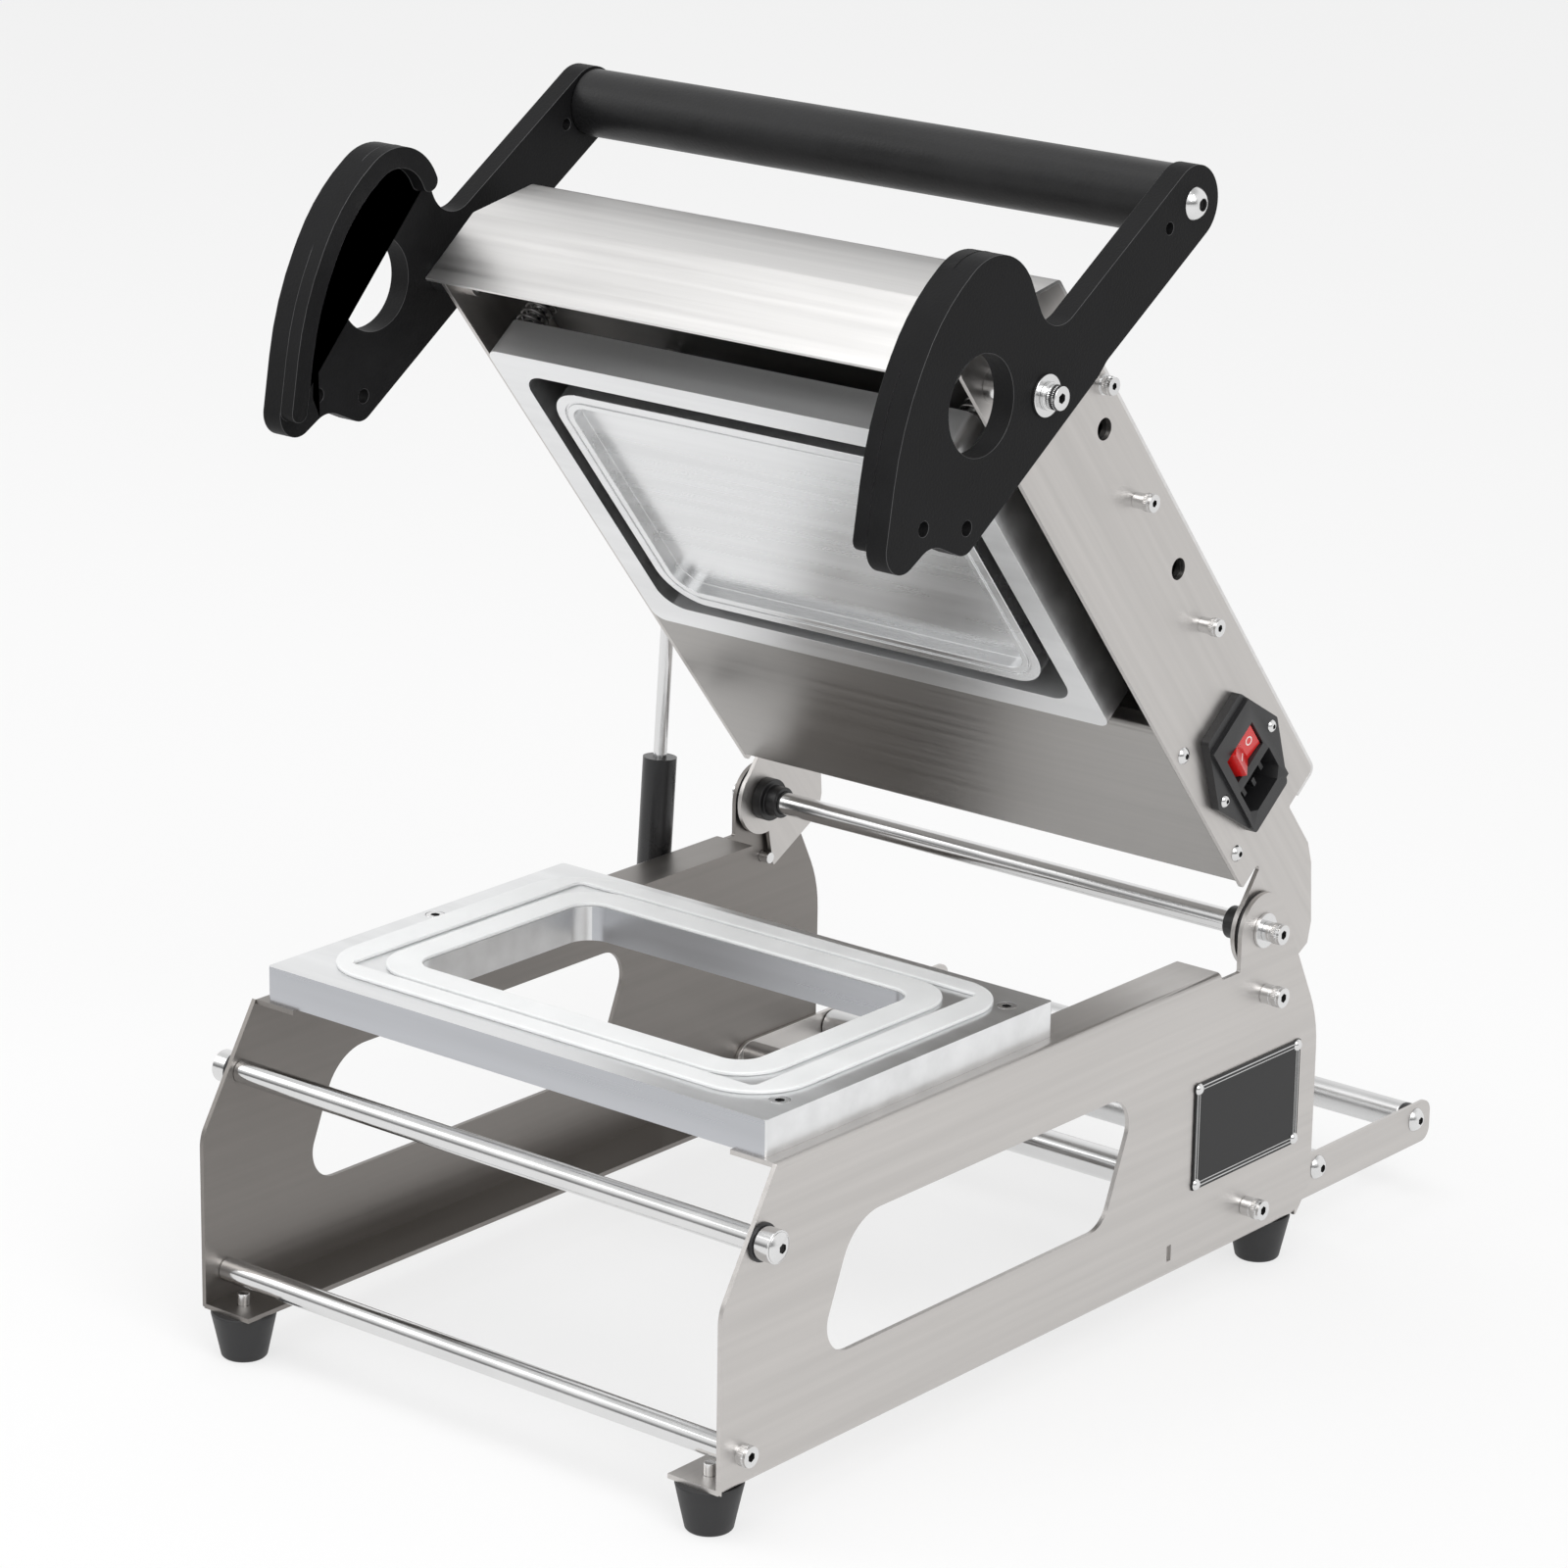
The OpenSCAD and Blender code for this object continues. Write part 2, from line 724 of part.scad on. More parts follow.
module side_plate(side) {
    on_base() on_side(side) difference() {
        union() {
            across(base_in, sheet_t) side_outline();
            translate([base_half - top_flange_w, front_slope, deck_h - sheet_t])
                cube([top_flange_w - sheet_t / 2, ear_notch_y - front_slope, sheet_t]);
            translate([base_half - foot_flange_w, 0, 0])
                cube([foot_flange_w - sheet_t / 2, base_d - heel_y, sheet_t]);
        }
        rearward(front_slope, ear_notch_y - front_slope)
            translate([base_half, deck_h]) bend_waste(bend_r);
        rearward(edge_r, base_d - heel_y - 2 * edge_r)
            translate([base_half, 0]) mirror([0, 1]) bend_waste(bend_r);
        for (p = [[upper_rod_y, upper_rod_z], [lower_rod_y, lower_rod_z], [tie_y, tie_z],
            [stop_y, stop_z], [hinge_y, hinge_z]])
            bar(base_in - over, p[0], p[1], bolt_hole, sheet_t + 2 * over);
        for (y = [foot_front_y, foot_rear_y])
            translate([foot_x, y, -over]) cylinder(d = bolt_hole, h = sheet_t + 2 * over);
        if (side > 0) {
            for (y = mould_screw_ys)
                translate([mould_screw_x, y, deck_h - sheet_t - over])
                    cylinder(d = mould_screw_d + 2 * screw_fit, h = sheet_t + 2 * over);
            rivet_places() cylinder(d = rivet_pin_d + 2 * screw_fit, h = 4 * sheet_t, center = true);
        }
        else {
            translate([mould_screw_far_x, opening_mid_y, deck_h - sheet_t - over])
                cylinder(d = mould_screw_d + 2 * screw_fit, h = sheet_t + 2 * over);
            bar(base_in - over, strut_low_y, strut_low_z, stud_d + 2 * screw_fit,
                sheet_t + 2 * over);
        }
    }
}

module right_side_plate() color("lightgray") side_plate(1);
module left_side_plate() color("lightgray") side_plate(-1);

module feet() {
    color("dimgray") on_base() for (x = [-foot_x, foot_x], y = [foot_front_y, foot_rear_y])
        translate([x, y, -foot_h]) difference() {
            rotate_extrude() polygon([[0, 0], [foot_end_d / 2 - foot_edge, 0],
                [foot_end_d / 2, foot_edge], [foot_top_d / 2, foot_h - foot_edge],
                [foot_top_d / 2 - foot_edge / 2, foot_h], [0, foot_h]]);
            translate([0, 0, -over]) cylinder(d = foot_recess_d, h = foot_recess_h + over);
            cylinder(d = foot_seat_d, h = foot_recess_h + foot_seat_h);
            translate([0, 0, -over]) cylinder(d = bolt_hole, h = foot_h + 2 * over);
        }
}

module foot_screws() {
    color("silver") on_base() for (x = [-foot_x, foot_x], y = [foot_front_y, foot_rear_y])
        translate([x, y, foot_recess_h + foot_seat_h - foot_h]) mirror([0, 0, 1])
            cap_screw(bolt_d, foot_h - foot_recess_h - foot_seat_h + sheet_t + foot_screw_over,
                foot_head_d, foot_head_h, bolt_key, bolt_key_h / 2);
}

// A rod between the side plates, tapped at both ends
module tapped_rod(y, z, d, half, tap_d, tap_l) {
    difference() {
        bar(-half, y, z, d, 2 * half);
        both_sides() bar(half - tap_l, y, z, tap_d, tap_l + over);
    }
}

module upper_front_rod() color("silver") on_base()
    tapped_rod(upper_rod_y, upper_rod_z, rod_d, base_in, bolt_hole, latch_screw_l);
module lower_front_rod() color("silver") on_base()
    tapped_rod(lower_rod_y, lower_rod_z, rod_d, base_in, bolt_hole, bolt_grip);
module rear_tie_rod() color("silver") on_base()
    tapped_rod(tie_y, tie_z, tie_d, arm_in, bolt_hole, bolt_grip);
module hinge_shaft() color("silver") on_base()
    tapped_rod(hinge_y, hinge_z, rod_d, base_in, bolt_hole, bolt_grip);

module frame_bolts() {
    color("silver") on_base() both_sides() {
        frame_bolt(lower_rod_y, lower_rod_z, 0, bolt_grip);
        frame_bolt(tie_y, tie_z, bolt_collar_l, bolt_grip);
        frame_bolt(stop_y, stop_z, bolt_collar_l, sheet_t + stop_reach);
        frame_bolt(hinge_y, hinge_z, hinge_washer_t + hinge_collar_l, bolt_grip);
    }
}

// A bolt whose head stands off the side plate and which reaches into it by a depth
module frame_bolt(y, z, off, depth) pointing_out(base_half + off, y, z)
    cap_screw(bolt_d, off + depth, bolt_head_d, bolt_head_h, bolt_key, bolt_key_h);

module bolt_spacers() {
    color("silver") on_base() both_sides() {
        for (p = [[tie_y, tie_z], [stop_y, stop_z]]) pointing_out(base_half, p[0], p[1])
            ring(bolt_head_d, bolt_hole, bolt_collar_l);
        pointing_out(base_half + hinge_washer_t, hinge_y, hinge_z)
            ring(bolt_head_d, bolt_hole, hinge_collar_l);
    }
}

module latch_washers() color("dimgray") on_base() both_sides()
    pointing_out(base_half, upper_rod_y, upper_rod_z) ring(latch_washer_d, bolt_hole, latch_washer_t);

module latch_roller(side) {
    color("silver") on_base() on_side(side)
        pointing_out(base_half + latch_washer_t + run_fit, upper_rod_y, upper_rod_z)
            ring(latch_roller_d, bolt_d + 2 * run_fit, latch_roller_l);
}
module right_latch_roller() latch_roller(1);
module left_latch_roller() latch_roller(-1);

module latch_screws() {
    color("silver") on_base() both_sides()
        pointing_out(base_half + latch_washer_t + latch_roller_l + 2 * run_fit, upper_rod_y, upper_rod_z)
            dome_screw(bolt_d, latch_screw_l, latch_head_d, latch_head_h, latch_key, latch_key_h);
}

module hinge_washers() color("silver") on_base() both_sides()
    pointing_out(base_half, hinge_y, hinge_z) ring(hinge_washer_d, bolt_hole, hinge_washer_t);
module hinge_spacers() color("dimgray") on_base() both_sides()
    pointing_out(head_half + run_fit, hinge_y, hinge_z)
        ring(2 * (ear_r - edge_r / 2), rod_d + 2 * run_fit, ear_gap - run_fit);

module data_plate() {
    color("black") on_base() difference() {
        across(base_half, label_t) translate([label_y, label_z]) square([label_w, label_h]);
        rivet_places() cylinder(d = rivet_pin_d + 2 * screw_fit, h = 4 * sheet_t, center = true);
    }
}

module rivet_places() {
    for (y = [rivet_inset, label_w - rivet_inset], z = [rivet_inset, label_h - rivet_inset])
        pointing_out(base_half, label_y + y, label_z + z) children();
}

module data_plate_rivets() {
    rivet_r = (rivet_d * rivet_d / 4 + rivet_h * rivet_h) / (2 * rivet_h);
    color("silver") on_base() rivet_places() {
        translate([0, 0, -sheet_t]) cylinder(d = rivet_pin_d, h = sheet_t + label_t);
        translate([0, 0, label_t]) intersection() {
            cylinder(d = rivet_d, h = rivet_h);
            translate([0, 0, rivet_h - rivet_r]) sphere(r = rivet_r);
        }
    }
}

// Film arms and rollers

module film_arm(side) {
    on_base() on_side(side) difference() {
        across(arm_in, sheet_t) union() {
            translate([tie_y, arm_mid_z]) circle(d = arm_h);
            polygon(rounded([[tie_y, arm_mid_z - arm_h / 2, 0],
                [rear_roller_y + arm_end, arm_mid_z - arm_h / 2, arm_corner_r],
                [rear_roller_y + arm_end, arm_mid_z + arm_h / 2, arm_corner_r],
                [tie_y, arm_mid_z + arm_h / 2, 0]]));
        }
        bar(arm_in - over, tie_y, tie_z, bolt_hole, sheet_t + 2 * over);
        for (y = [front_roller_y, rear_roller_y])
            bar(arm_in - over, y, tie_z, roller_screw_d + 2 * screw_fit, sheet_t + 2 * over);
    }
}
module right_film_arm() color("lightgray") film_arm(1);
module left_film_arm() color("lightgray") film_arm(-1);

module film_roller_shafts() color("gray") on_base() for (y = [front_roller_y, rear_roller_y])
    tapped_rod(y, tie_z, shaft_d, arm_in, roller_screw_d + 2 * screw_fit, roller_screw_l);
module film_roller_screws() color("silver") on_base() both_sides()
    for (y = [front_roller_y, rear_roller_y]) pointing_out(base_in, y, tie_z)
        dome_screw(roller_screw_d, roller_screw_l, roller_head_d, roller_head_h, roller_key,
            roller_key_h);

module film_roller(y, d, half) {
    difference() {
        bar(-half, y, tie_z, d, 2 * half);
        bar(-half - over, y, tie_z, shaft_d + 2 * run_fit, 2 * half + 2 * over);
    }
}
module front_film_roller() color("lightgray") on_base()
    film_roller(front_roller_y, tie_d, arm_in - face_gap);
module rear_film_roller() color("lightgray") on_base()
    film_roller(rear_roller_y, rear_roller_d, arm_in - roller_bush_l - face_gap);
module rear_roller_bushes() color("dimgray") on_base() both_sides()
    pointing_out(arm_in - roller_bush_l, rear_roller_y, tie_z)
        ring(rear_roller_d, shaft_d + 2 * run_fit, roller_bush_l);

// Lower mould

module mould_screw_places() {
    for (y = mould_screw_ys) translate([mould_screw_x, y, deck_h + mould_h]) children();
    translate([-mould_screw_far_x, opening_mid_y, deck_h + mould_h]) children();
}

module lower_mould() {
    color("gainsboro") on_base() difference() {
        translate([0, mould_mid_y, deck_h]) slab(mould_w, mould_d, block_r, mould_h);
        translate([0, opening_mid_y, deck_h - over])
            slab(opening_w, opening_d, opening_r, mould_h + 2 * over);
        mould_screw_places() {
            translate([0, 0, -mould_h - over])
                cylinder(d = mould_screw_d + 2 * screw_fit, h = mould_h + 2 * over);
            translate([0, 0, -mould_screw_head_h])
                cylinder(d = mould_screw_head + 2 * screw_fit, h = mould_screw_head_h + over);
        }
    }
}

// Two silicone rings: the outer one for the pressing frame, the inner one for the tray lip
module mould_gaskets() {
    room_w = lip_ring_w + 2 * room_x;
    room_d = lip_ring_d + 2 * room_y;
    color("white") on_base() translate([0, opening_mid_y, deck_h + mould_h]) {
        difference() {
            slab(room_w + 2 * band_x, room_d + 2 * band_y, band_r, gasket_h);
            translate([0, 0, -over]) slab(room_w, room_d, room_r, gasket_h + 2 * over);
        }
        difference() {
            slab(lip_ring_w, lip_ring_d, lip_ring_r, gasket_h);
            translate([0, 0, -over]) slab(opening_w, opening_d, opening_r, gasket_h + 2 * over);
        }
    }
}

module mould_screws() {
    color("silver") on_base() mould_screw_places() translate([0, 0, -mould_screw_head_h])
        cap_screw(mould_screw_d, mould_screw_l, mould_screw_head, mould_screw_head_h,
            mould_screw_key, mould_screw_key_h);
}

// Head, drawn closed round the hinge and then opened

// Inner corners of the cover, which the head plates fill
function head_chain() = [[-head_front, cover_low, 0], [-head_front, head_top - bevel_h, cover_r],
    [-head_front + bevel_d, head_top, cover_r], [-head_rear, head_top, head_corner_r],
    [-head_rear, head_top - cover_lip, 0]];

module head_outline() {
    inner = moved(head_chain(), -cover_t);
    difference() {
        union() {
            polygon(rounded([[inner[0][0], head_low, edge_r], inner[1], inner[2], inner[3],
                [inner[3][0], tail_low, edge_r], [-tail_knee_y / 10, tail_low, edge_r],
                [tail_knee_y, tail_knee_z, edge_r], [tail_back_y, tail_back_z, edge_r],
                [tail_end_y, tail_end_z, edge_r],
                [tail_reach * cos(tail_dir), tail_reach * sin(tail_dir), edge_r], [0, 0, 0],
                [-lobe_r, 0, 0], [-slit_y + slit_w / 2, slit_top, 0],
                [-slit_y - slit_w / 2, slit_top, 0], [-slit_y - slit_w / 2, head_low, edge_r]]));
            circle(r = lobe_r);
        }
        translate([-slit_y, slit_top]) circle(d = slit_w);
    }
}

module head_plate(side) {
    on_head() on_side(side) {
        difference() {
            union() {
                across(head_in, sheet_t) head_outline();
                bar(head_in - nut_boss_h, -pivot_y, pivot_z, nut_boss_d, nut_boss_h + sheet_t / 2);
            }
            for (p = vents) bar(head_in - over, p[0], p[1], vent_d, sheet_t + 2 * over);
            for (y = carrier_bolt_ys)
                bar(head_in - over, y, carrier_bolt_z, side_bolt_d + 2 * screw_fit,
                    sheet_t + 2 * over);
            bar(head_in - over, cover_bolt_y, cover_bolt_z, side_bolt_d + 2 * screw_fit,
                sheet_t + 2 * over);
            for (y = cover_screw_ys)
                bar(head_in - over, y, cover_screw_z, cover_screw_d + 2 * screw_fit,
                    sheet_t + 2 * over);
            bar(head_in - over, 0, 0, bush_spigot_d + 2 * run_fit, sheet_t + 2 * over);
            bar(head_in - nut_boss_h - over, -pivot_y, pivot_z, pivot_bolt_d + 2 * screw_fit,
                nut_boss_h + sheet_t + 2 * over);
            if (side > 0) {
                translate([head_in - over, inlet_y - inlet_body_l / 2, inlet_z - inlet_body_w / 2])
                    cube([sheet_t + 2 * over, inlet_body_l, inlet_body_w]);
                for (z = [-inlet_pitch / 2, inlet_pitch / 2])
                    bar(head_in - over, inlet_y, inlet_z + z, inlet_screw_d + 2 * screw_fit,
                        sheet_t + 2 * over);
            }
            else
                bar(head_in - over, -strut_up_y, strut_up_z, stud_d + 2 * screw_fit,
                    sheet_t + 2 * over);
        }
    }
}
module right_head_plate() color("lightgray") head_plate(1);
module left_head_plate() color("lightgray") head_plate(-1);

module top_cover() {
    tab_y = cover_tab_w;
    tab_z = head_top - cover_t - cover_bolt_z + tab_y / 2;
    color("lightgray") on_head() difference() {
        union() {
            across(-head_half, 2 * head_half) polygon(strip(head_chain(), -cover_t));
            both_sides() {
                translate([head_in - carrier_slack - cover_t, cover_bolt_y - tab_y / 2,
                    head_top - cover_t / 2 - tab_z]) cube([cover_t, tab_y, tab_z]);
            }
        }
        both_sides() bar(head_in - nut_boss_h, cover_bolt_y, cover_bolt_z,
            side_bolt_d + 2 * screw_fit, nut_boss_h + over);
    }
}

module bottom_cover() {
    half = head_in - carrier_slack;
    chain = [[-bottom_front, head_low + bottom_flange, 0], [-bottom_front, head_low, cover_r],
        [-head_rear - cover_t, head_low, cover_r],
        [-head_rear - cover_t, head_top - 2 * cover_t - face_gap, 0]];
    color("lightgray") on_head() difference() {
        union() {
            across(-half, 2 * half) polygon(strip(chain, cover_t));
            both_sides() translate([half - cover_t, -bottom_front + cover_r, head_low + cover_t / 2])
                cube([cover_t, bottom_front - head_rear - 2 * cover_r, bottom_flange]);
        }
        both_sides() for (y = cover_screw_ys)
            bar(half - cover_t - over, y, cover_screw_z, cover_screw_d + 2 * screw_fit,
                cover_t + 2 * over);
    }
}

module cover_screws() color("silver") on_head() both_sides() for (y = cover_screw_ys)
    pointing_out(head_half, y, cover_screw_z) dome_screw(cover_screw_d, cover_screw_l,
        cover_screw_head, cover_screw_head_h, cover_screw_key, cover_screw_key_h);

module cover_bolts() {
    color("silver") on_head() both_sides() {
        pointing_out(head_half, cover_bolt_y, cover_bolt_z)
            ring(black_washer_d, side_bolt_d + 2 * screw_fit, black_washer_t);
        pointing_out(head_half + black_washer_t, cover_bolt_y, cover_bolt_z)
            cap_screw(side_bolt_d, black_washer_t + sheet_t + 2 * cover_t, side_head_d,
                side_head_h, side_key, side_key_h);
    }
}

module carrier_bolts() {
    color("silver") on_head() both_sides() for (y = carrier_bolt_ys)
        pointing_out(head_half, y, carrier_bolt_z) {
            cylinder(d = collar_d, h = collar_h);
            translate([0, 0, collar_h]) cap_screw(side_bolt_d,
                collar_h + sheet_t + carrier_slack + carrier_t + nut_boss_h, side_head_d,
                side_head_h, side_key, side_key_h);
        }
}

module hinge_bushes() {
    color("dimgray") on_head() both_sides() difference() {
        union() {
            bar(head_in, 0, 0, bush_spigot_d, sheet_t);
            bar(head_in - bush_flange_l, 0, 0, bush_flange_d, bush_flange_l);
            bar(head_in - bush_flange_l - bush_nose_l, 0, 0, bush_nose_d, bush_nose_l + over);
        }
        bar(head_in - bush_flange_l - bush_nose_l - over, 0, 0, rod_d + 2 * run_fit,
            bush_flange_l + bush_nose_l + sheet_t + 2 * over);
    }
}

function frame_guides() = [for (x = [-1, 1], y = [-1, 1])
    [x * (frame_w / 2 - frame_guide_inset), frame_mid_y + y * (frame_d / 2 - frame_guide_inset)]];
function plate_guides() = [for (x = [-1, 1], y = [-1, 1])
    [x * (plate_w / 2 - plate_guide_inset_x), frame_mid_y + y * (plate_d / 2 - plate_guide_inset_y)]];

module carrier_plate() {
    half = head_in - carrier_slack;
    chain = [[half, carrier_z + carrier_flange, 0], [half, carrier_z, carrier_r],
        [-half, carrier_z, carrier_r], [-half, carrier_z + carrier_flange, 0]];
    color("gray") on_head() difference() {
        union() {
            rearward(-carrier_front, carrier_front - carrier_rear) polygon(strip(chain, -carrier_t));
            both_sides() for (y = carrier_bolt_ys)
                bar(half - carrier_t - nut_boss_h, y, carrier_bolt_z, nut_boss_d,
                    nut_boss_h + carrier_t / 2);
        }
        both_sides() {
            for (y = carrier_bolt_ys)
                bar(half - carrier_t - nut_boss_h - over, y, carrier_bolt_z,
                    side_bolt_d + 2 * screw_fit, nut_boss_h + carrier_t + 2 * over);
            // Room for the tab of the top cover
            translate([half - carrier_t - over, cover_bolt_y - tab_room / 2, carrier_z + carrier_r])
                cube([carrier_t + 2 * over, tab_room, carrier_flange]);
        }
        for (p = concat(frame_guides(), plate_guides()))
            translate([p[0], p[1], carrier_z - over])
                cylinder(d = guide_d + 2 * guide_fit, h = carrier_t + 2 * over);
        for (p = vents) both_sides() bar(half - carrier_t - over, p[0], p[1], vent_d,
            carrier_t + 2 * over);
    }
}

// A guide bolt stands in the mould and rests with its head on the carrier plate
module guide_bolt(low) {
    translate([0, 0, carrier_z + carrier_t]) cap_screw(guide_d,
        carrier_z + carrier_t - low + guide_depth, guide_head_d, guide_head_h, bolt_key,
        bolt_key_h / 2);
}

module pressing_frame() {
    color("gainsboro") on_head() difference() {
        translate([0, frame_mid_y, frame_z]) difference() {
            slab(frame_w, frame_d, frame_r, frame_h);
            translate([0, 0, -over]) slab(frame_w - 2 * frame_bar, frame_d - 2 * frame_bar,
                frame_window_r, frame_h + 2 * over);
        }
        for (p = frame_guides()) translate([p[0], p[1], frame_z + frame_h - guide_depth])
            cylinder(d = guide_d + 2 * screw_fit, h = guide_depth + over);
    }
}

module frame_guide_bolts() color("silver") on_head() for (p = frame_guides())
    translate([p[0], p[1], 0]) guide_bolt(frame_z + frame_h);

// The outline of the sealing plate, smaller all round by t
module inset_slab(t, h) slab(plate_w - 2 * t, plate_d - 2 * t, plate_r - t, h);

module sealing_plate() {
    color("gainsboro") on_head() difference() {
        translate([0, frame_mid_y, plate_z]) difference() {
            slab(plate_w, plate_d, plate_r, plate_h);
            translate([0, 0, -over]) difference() {
                inset_slab(groove_inset, groove_depth + over);
                inset_slab(groove_inset + groove_w, groove_depth + 2 * over);
            }
            translate([0, 0, -over]) slab(plate_w - 2 * pan_inset, plate_d - 2 * pan_inset, pan_r,
                pan_depth + over);
        }
        for (p = plate_guides()) translate([p[0], p[1], plate_z + plate_h - guide_depth])
            cylinder(d = guide_d + 2 * screw_fit, h = guide_depth + over);
    }
}

module plate_guide_bolts() color("silver") on_head() for (p = plate_guides())
    translate([p[0], p[1], 0]) guide_bolt(plate_z + plate_h);

module heater() {
    color("peru") on_head() translate([0, frame_mid_y, plate_z + plate_h]) {
        heater_w = plate_w - 2 * heater_inset_x;
        slab(heater_w, plate_d - 2 * heater_inset_y, heater_r, heater_h);
        for (x = [-heater_w / 4, heater_w / 4]) translate([x, 0, heater_h - over])
            cylinder(d = heater_tab_w, h = heater_tab_h + over);
    }
}

// Springs: one unbroken tube along a helix, eight rings a turn of six sides

ring_share = 1 / 8;
ring_sides = 6;

function spring_point(r, rise, turn) = [r * cos(360 * turn), r * sin(360 * turn), rise * turn];
function spring_rings(r, w, low, rise, turns) =
    [for (i = [0 : turns / ring_share])
        let (turn = i * ring_share, p = spring_point(r, rise, turn),
            n = [cos(360 * turn), sin(360 * turn), 0],
            t = unit([-2 * PI * r * sin(360 * turn), 2 * PI * r * cos(360 * turn), rise]),
            b = cross(t, n))
        [for (k = [0 : ring_sides - 1]) let (a = 360 * k / ring_sides)
            [0, 0, low] + p + w * (cos(a) * n + sin(a) * b)]];

module tube(rings) {
    sides = len(rings[0]);
    last = len(rings) - 1;
    walls = [for (i = [0 : last - 1], k = [0 : sides - 1]) let (m = (k + 1) % sides)
        each [[i * sides + k, i * sides + m, (i + 1) * sides + m],
            [i * sides + k, (i + 1) * sides + m, (i + 1) * sides + k]]];
    ends = [for (k = [1 : sides - 2]) each [[0, k + 1, k],
        [last * sides, last * sides + k, last * sides + k + 1]]];
    polyhedron(points = [for (r = rings) each r],
        faces = [for (f = concat(walls, ends)) [f[2], f[1], f[0]]]);
}

// Least distance between the wire and its next turn, measured on the points of the centre line
function spring_gap(r, rise, turns) = min([for (i = [0 : turns / ring_share],
    j = [0 : turns / ring_share]) if (abs(i - j) * ring_share > 0.5)
    norm(spring_point(r, rise, i * ring_share) - spring_point(r, rise, j * ring_share))]) - wire_d;

frame_spring_low = frame_z + frame_h;
frame_spring_rise = (carrier_z - frame_spring_low - wire_d) / frame_turns;
plate_spring_low = plate_z + plate_h;
plate_spring_rise = (carrier_z - plate_spring_low - wire_d) / plate_turns;
echo(frame_spring_gap = spring_gap(coil_d / 2, frame_spring_rise, frame_turns));
echo(plate_spring_gap = spring_gap(coil_d / 2, plate_spring_rise, plate_turns));
echo(frame_travel = frame_travel, plate_travel = plate_travel);
echo(strut_stroke = strut_len - strut_len_closed, strut_swing = strut_lean - strut_lean_closed);
echo(strut_up = strut_up, strut_lean = strut_lean, latch_r = latch_r, tail_dir = tail_dir);

module frame_springs() color("silver") on_head() for (p = frame_guides())
    translate([p[0], p[1], 0]) tube(spring_rings(coil_d / 2, wire_d / 2,
        frame_spring_low + wire_d / 2, frame_spring_rise, frame_turns));
module plate_springs() color("silver") on_head() for (p = plate_guides())
    translate([p[0], p[1], 0]) tube(spring_rings(coil_d / 2, wire_d / 2,
        plate_spring_low + wire_d / 2, plate_spring_rise, plate_turns));

// Latch levers

handle = handle_reach * [cos(handle_dir), sin(handle_dir)];
arm_along = [cos(lever_screw_dir + arm_turn), sin(lever_screw_dir + arm_turn)];
arm_left = left_of(arm_along);
hook_chain = [latch_r * rim_tip_shares, latch_r * hook_top_shares, latch_r * hook_mid_shares,
    latch_r * hook_front_shares, latch_r * rim_end_shares];

module lever_outline() {
    front = handle + arm_left * lever_arm_w / 2;
    rear = handle - arm_left * lever_arm_w / 2;
    polygon(rounded([[rear[0], rear[1], 0], [front[0], front[1], 0], latch_r * mouth_shares,
        latch_r * hook_top_shares, latch_r * hook_mid_shares, latch_r * hook_front_shares,
        latch_r * front_lobe_shares, latch_r * valley_shares, latch_r * rear_lobe_shares,
        latch_r * step_low_shares, latch_r * step_high_shares]));
    translate(handle) circle(d = lever_arm_w);
}

module lever(side) {
    on_lever() on_side(side) difference() {
        union() {
            across(web_in, web_t) lever_outline();
            across(hook_in, hook_rim_h + web_t / 2) polygon(strip(hook_chain, hook_rim_w));
        }
        bar(web_in - over, 0, 0, pivot_bolt_d + 2 * run_fit, web_t + 2 * over);
        bar(web_in - over, latch_r * hook_hole_shares[0], latch_r * hook_hole_shares[1],
            latch_r * hook_hole_share, web_t + 2 * over);
        for (s = [spot_a_shares, spot_b_shares])
            bar(web_in - over, latch_r * s[0], latch_r * s[1], latch_r * spot_share,
                web_t + 2 * over);
        bar(web_in - over, handle[0], handle[1], handle_screw_d + 2 * screw_fit, web_t + 2 * over);
        bar(web_in - over, handle[0] - arm_spot_back * arm_along[0] + arm_spot_side * arm_left[0],
            handle[1] - arm_spot_back * arm_along[1] + arm_spot_side * arm_left[1], arm_spot_d,
            web_t + 2 * over);
    }
}
module right_lever() color("dimgray") lever(1);
module left_lever() color("dimgray") lever(-1);

module handle_bar() color("dimgray") on_lever()
    tapped_rod(handle[0], handle[1], handle_d, web_in, handle_screw_d + 2 * screw_fit,
        handle_bore_l);
module handle_screws() color("silver") on_lever() both_sides()
    pointing_out(web_out, handle[0], handle[1]) dome_screw(handle_screw_d, handle_screw_l,
        handle_head_d, handle_head_h, handle_key, handle_key_h);

module lever_washers() color("silver") on_lever() both_sides()
    pointing_out(web_out + run_fit, 0, 0) ring(pivot_washer_d, pivot_bolt_d + 2 * run_fit,
        pivot_washer_t);
module lever_pivot_bolts() {
    color("silver") on_lever() both_sides()
        pointing_out(web_out + run_fit + pivot_washer_t, 0, 0) {
            cylinder(d = pivot_collar_d, h = pivot_collar_h);
            translate([0, 0, pivot_collar_h]) cap_screw(pivot_bolt_d, pivot_collar_h + pivot_washer_t
                + run_fit + web_out - head_in + nut_boss_h, pivot_head_d, pivot_head_h, pivot_key,
                pivot_key_h);
        }
}
module lever_spacers() color("silver") on_lever() both_sides()
    pointing_out(head_half, 0, 0) ring(spacer_d, pivot_bolt_d + 2 * run_fit,
        web_in - head_half - run_fit);

// Gas strut, drawn upright on its lower pivot and then leaned

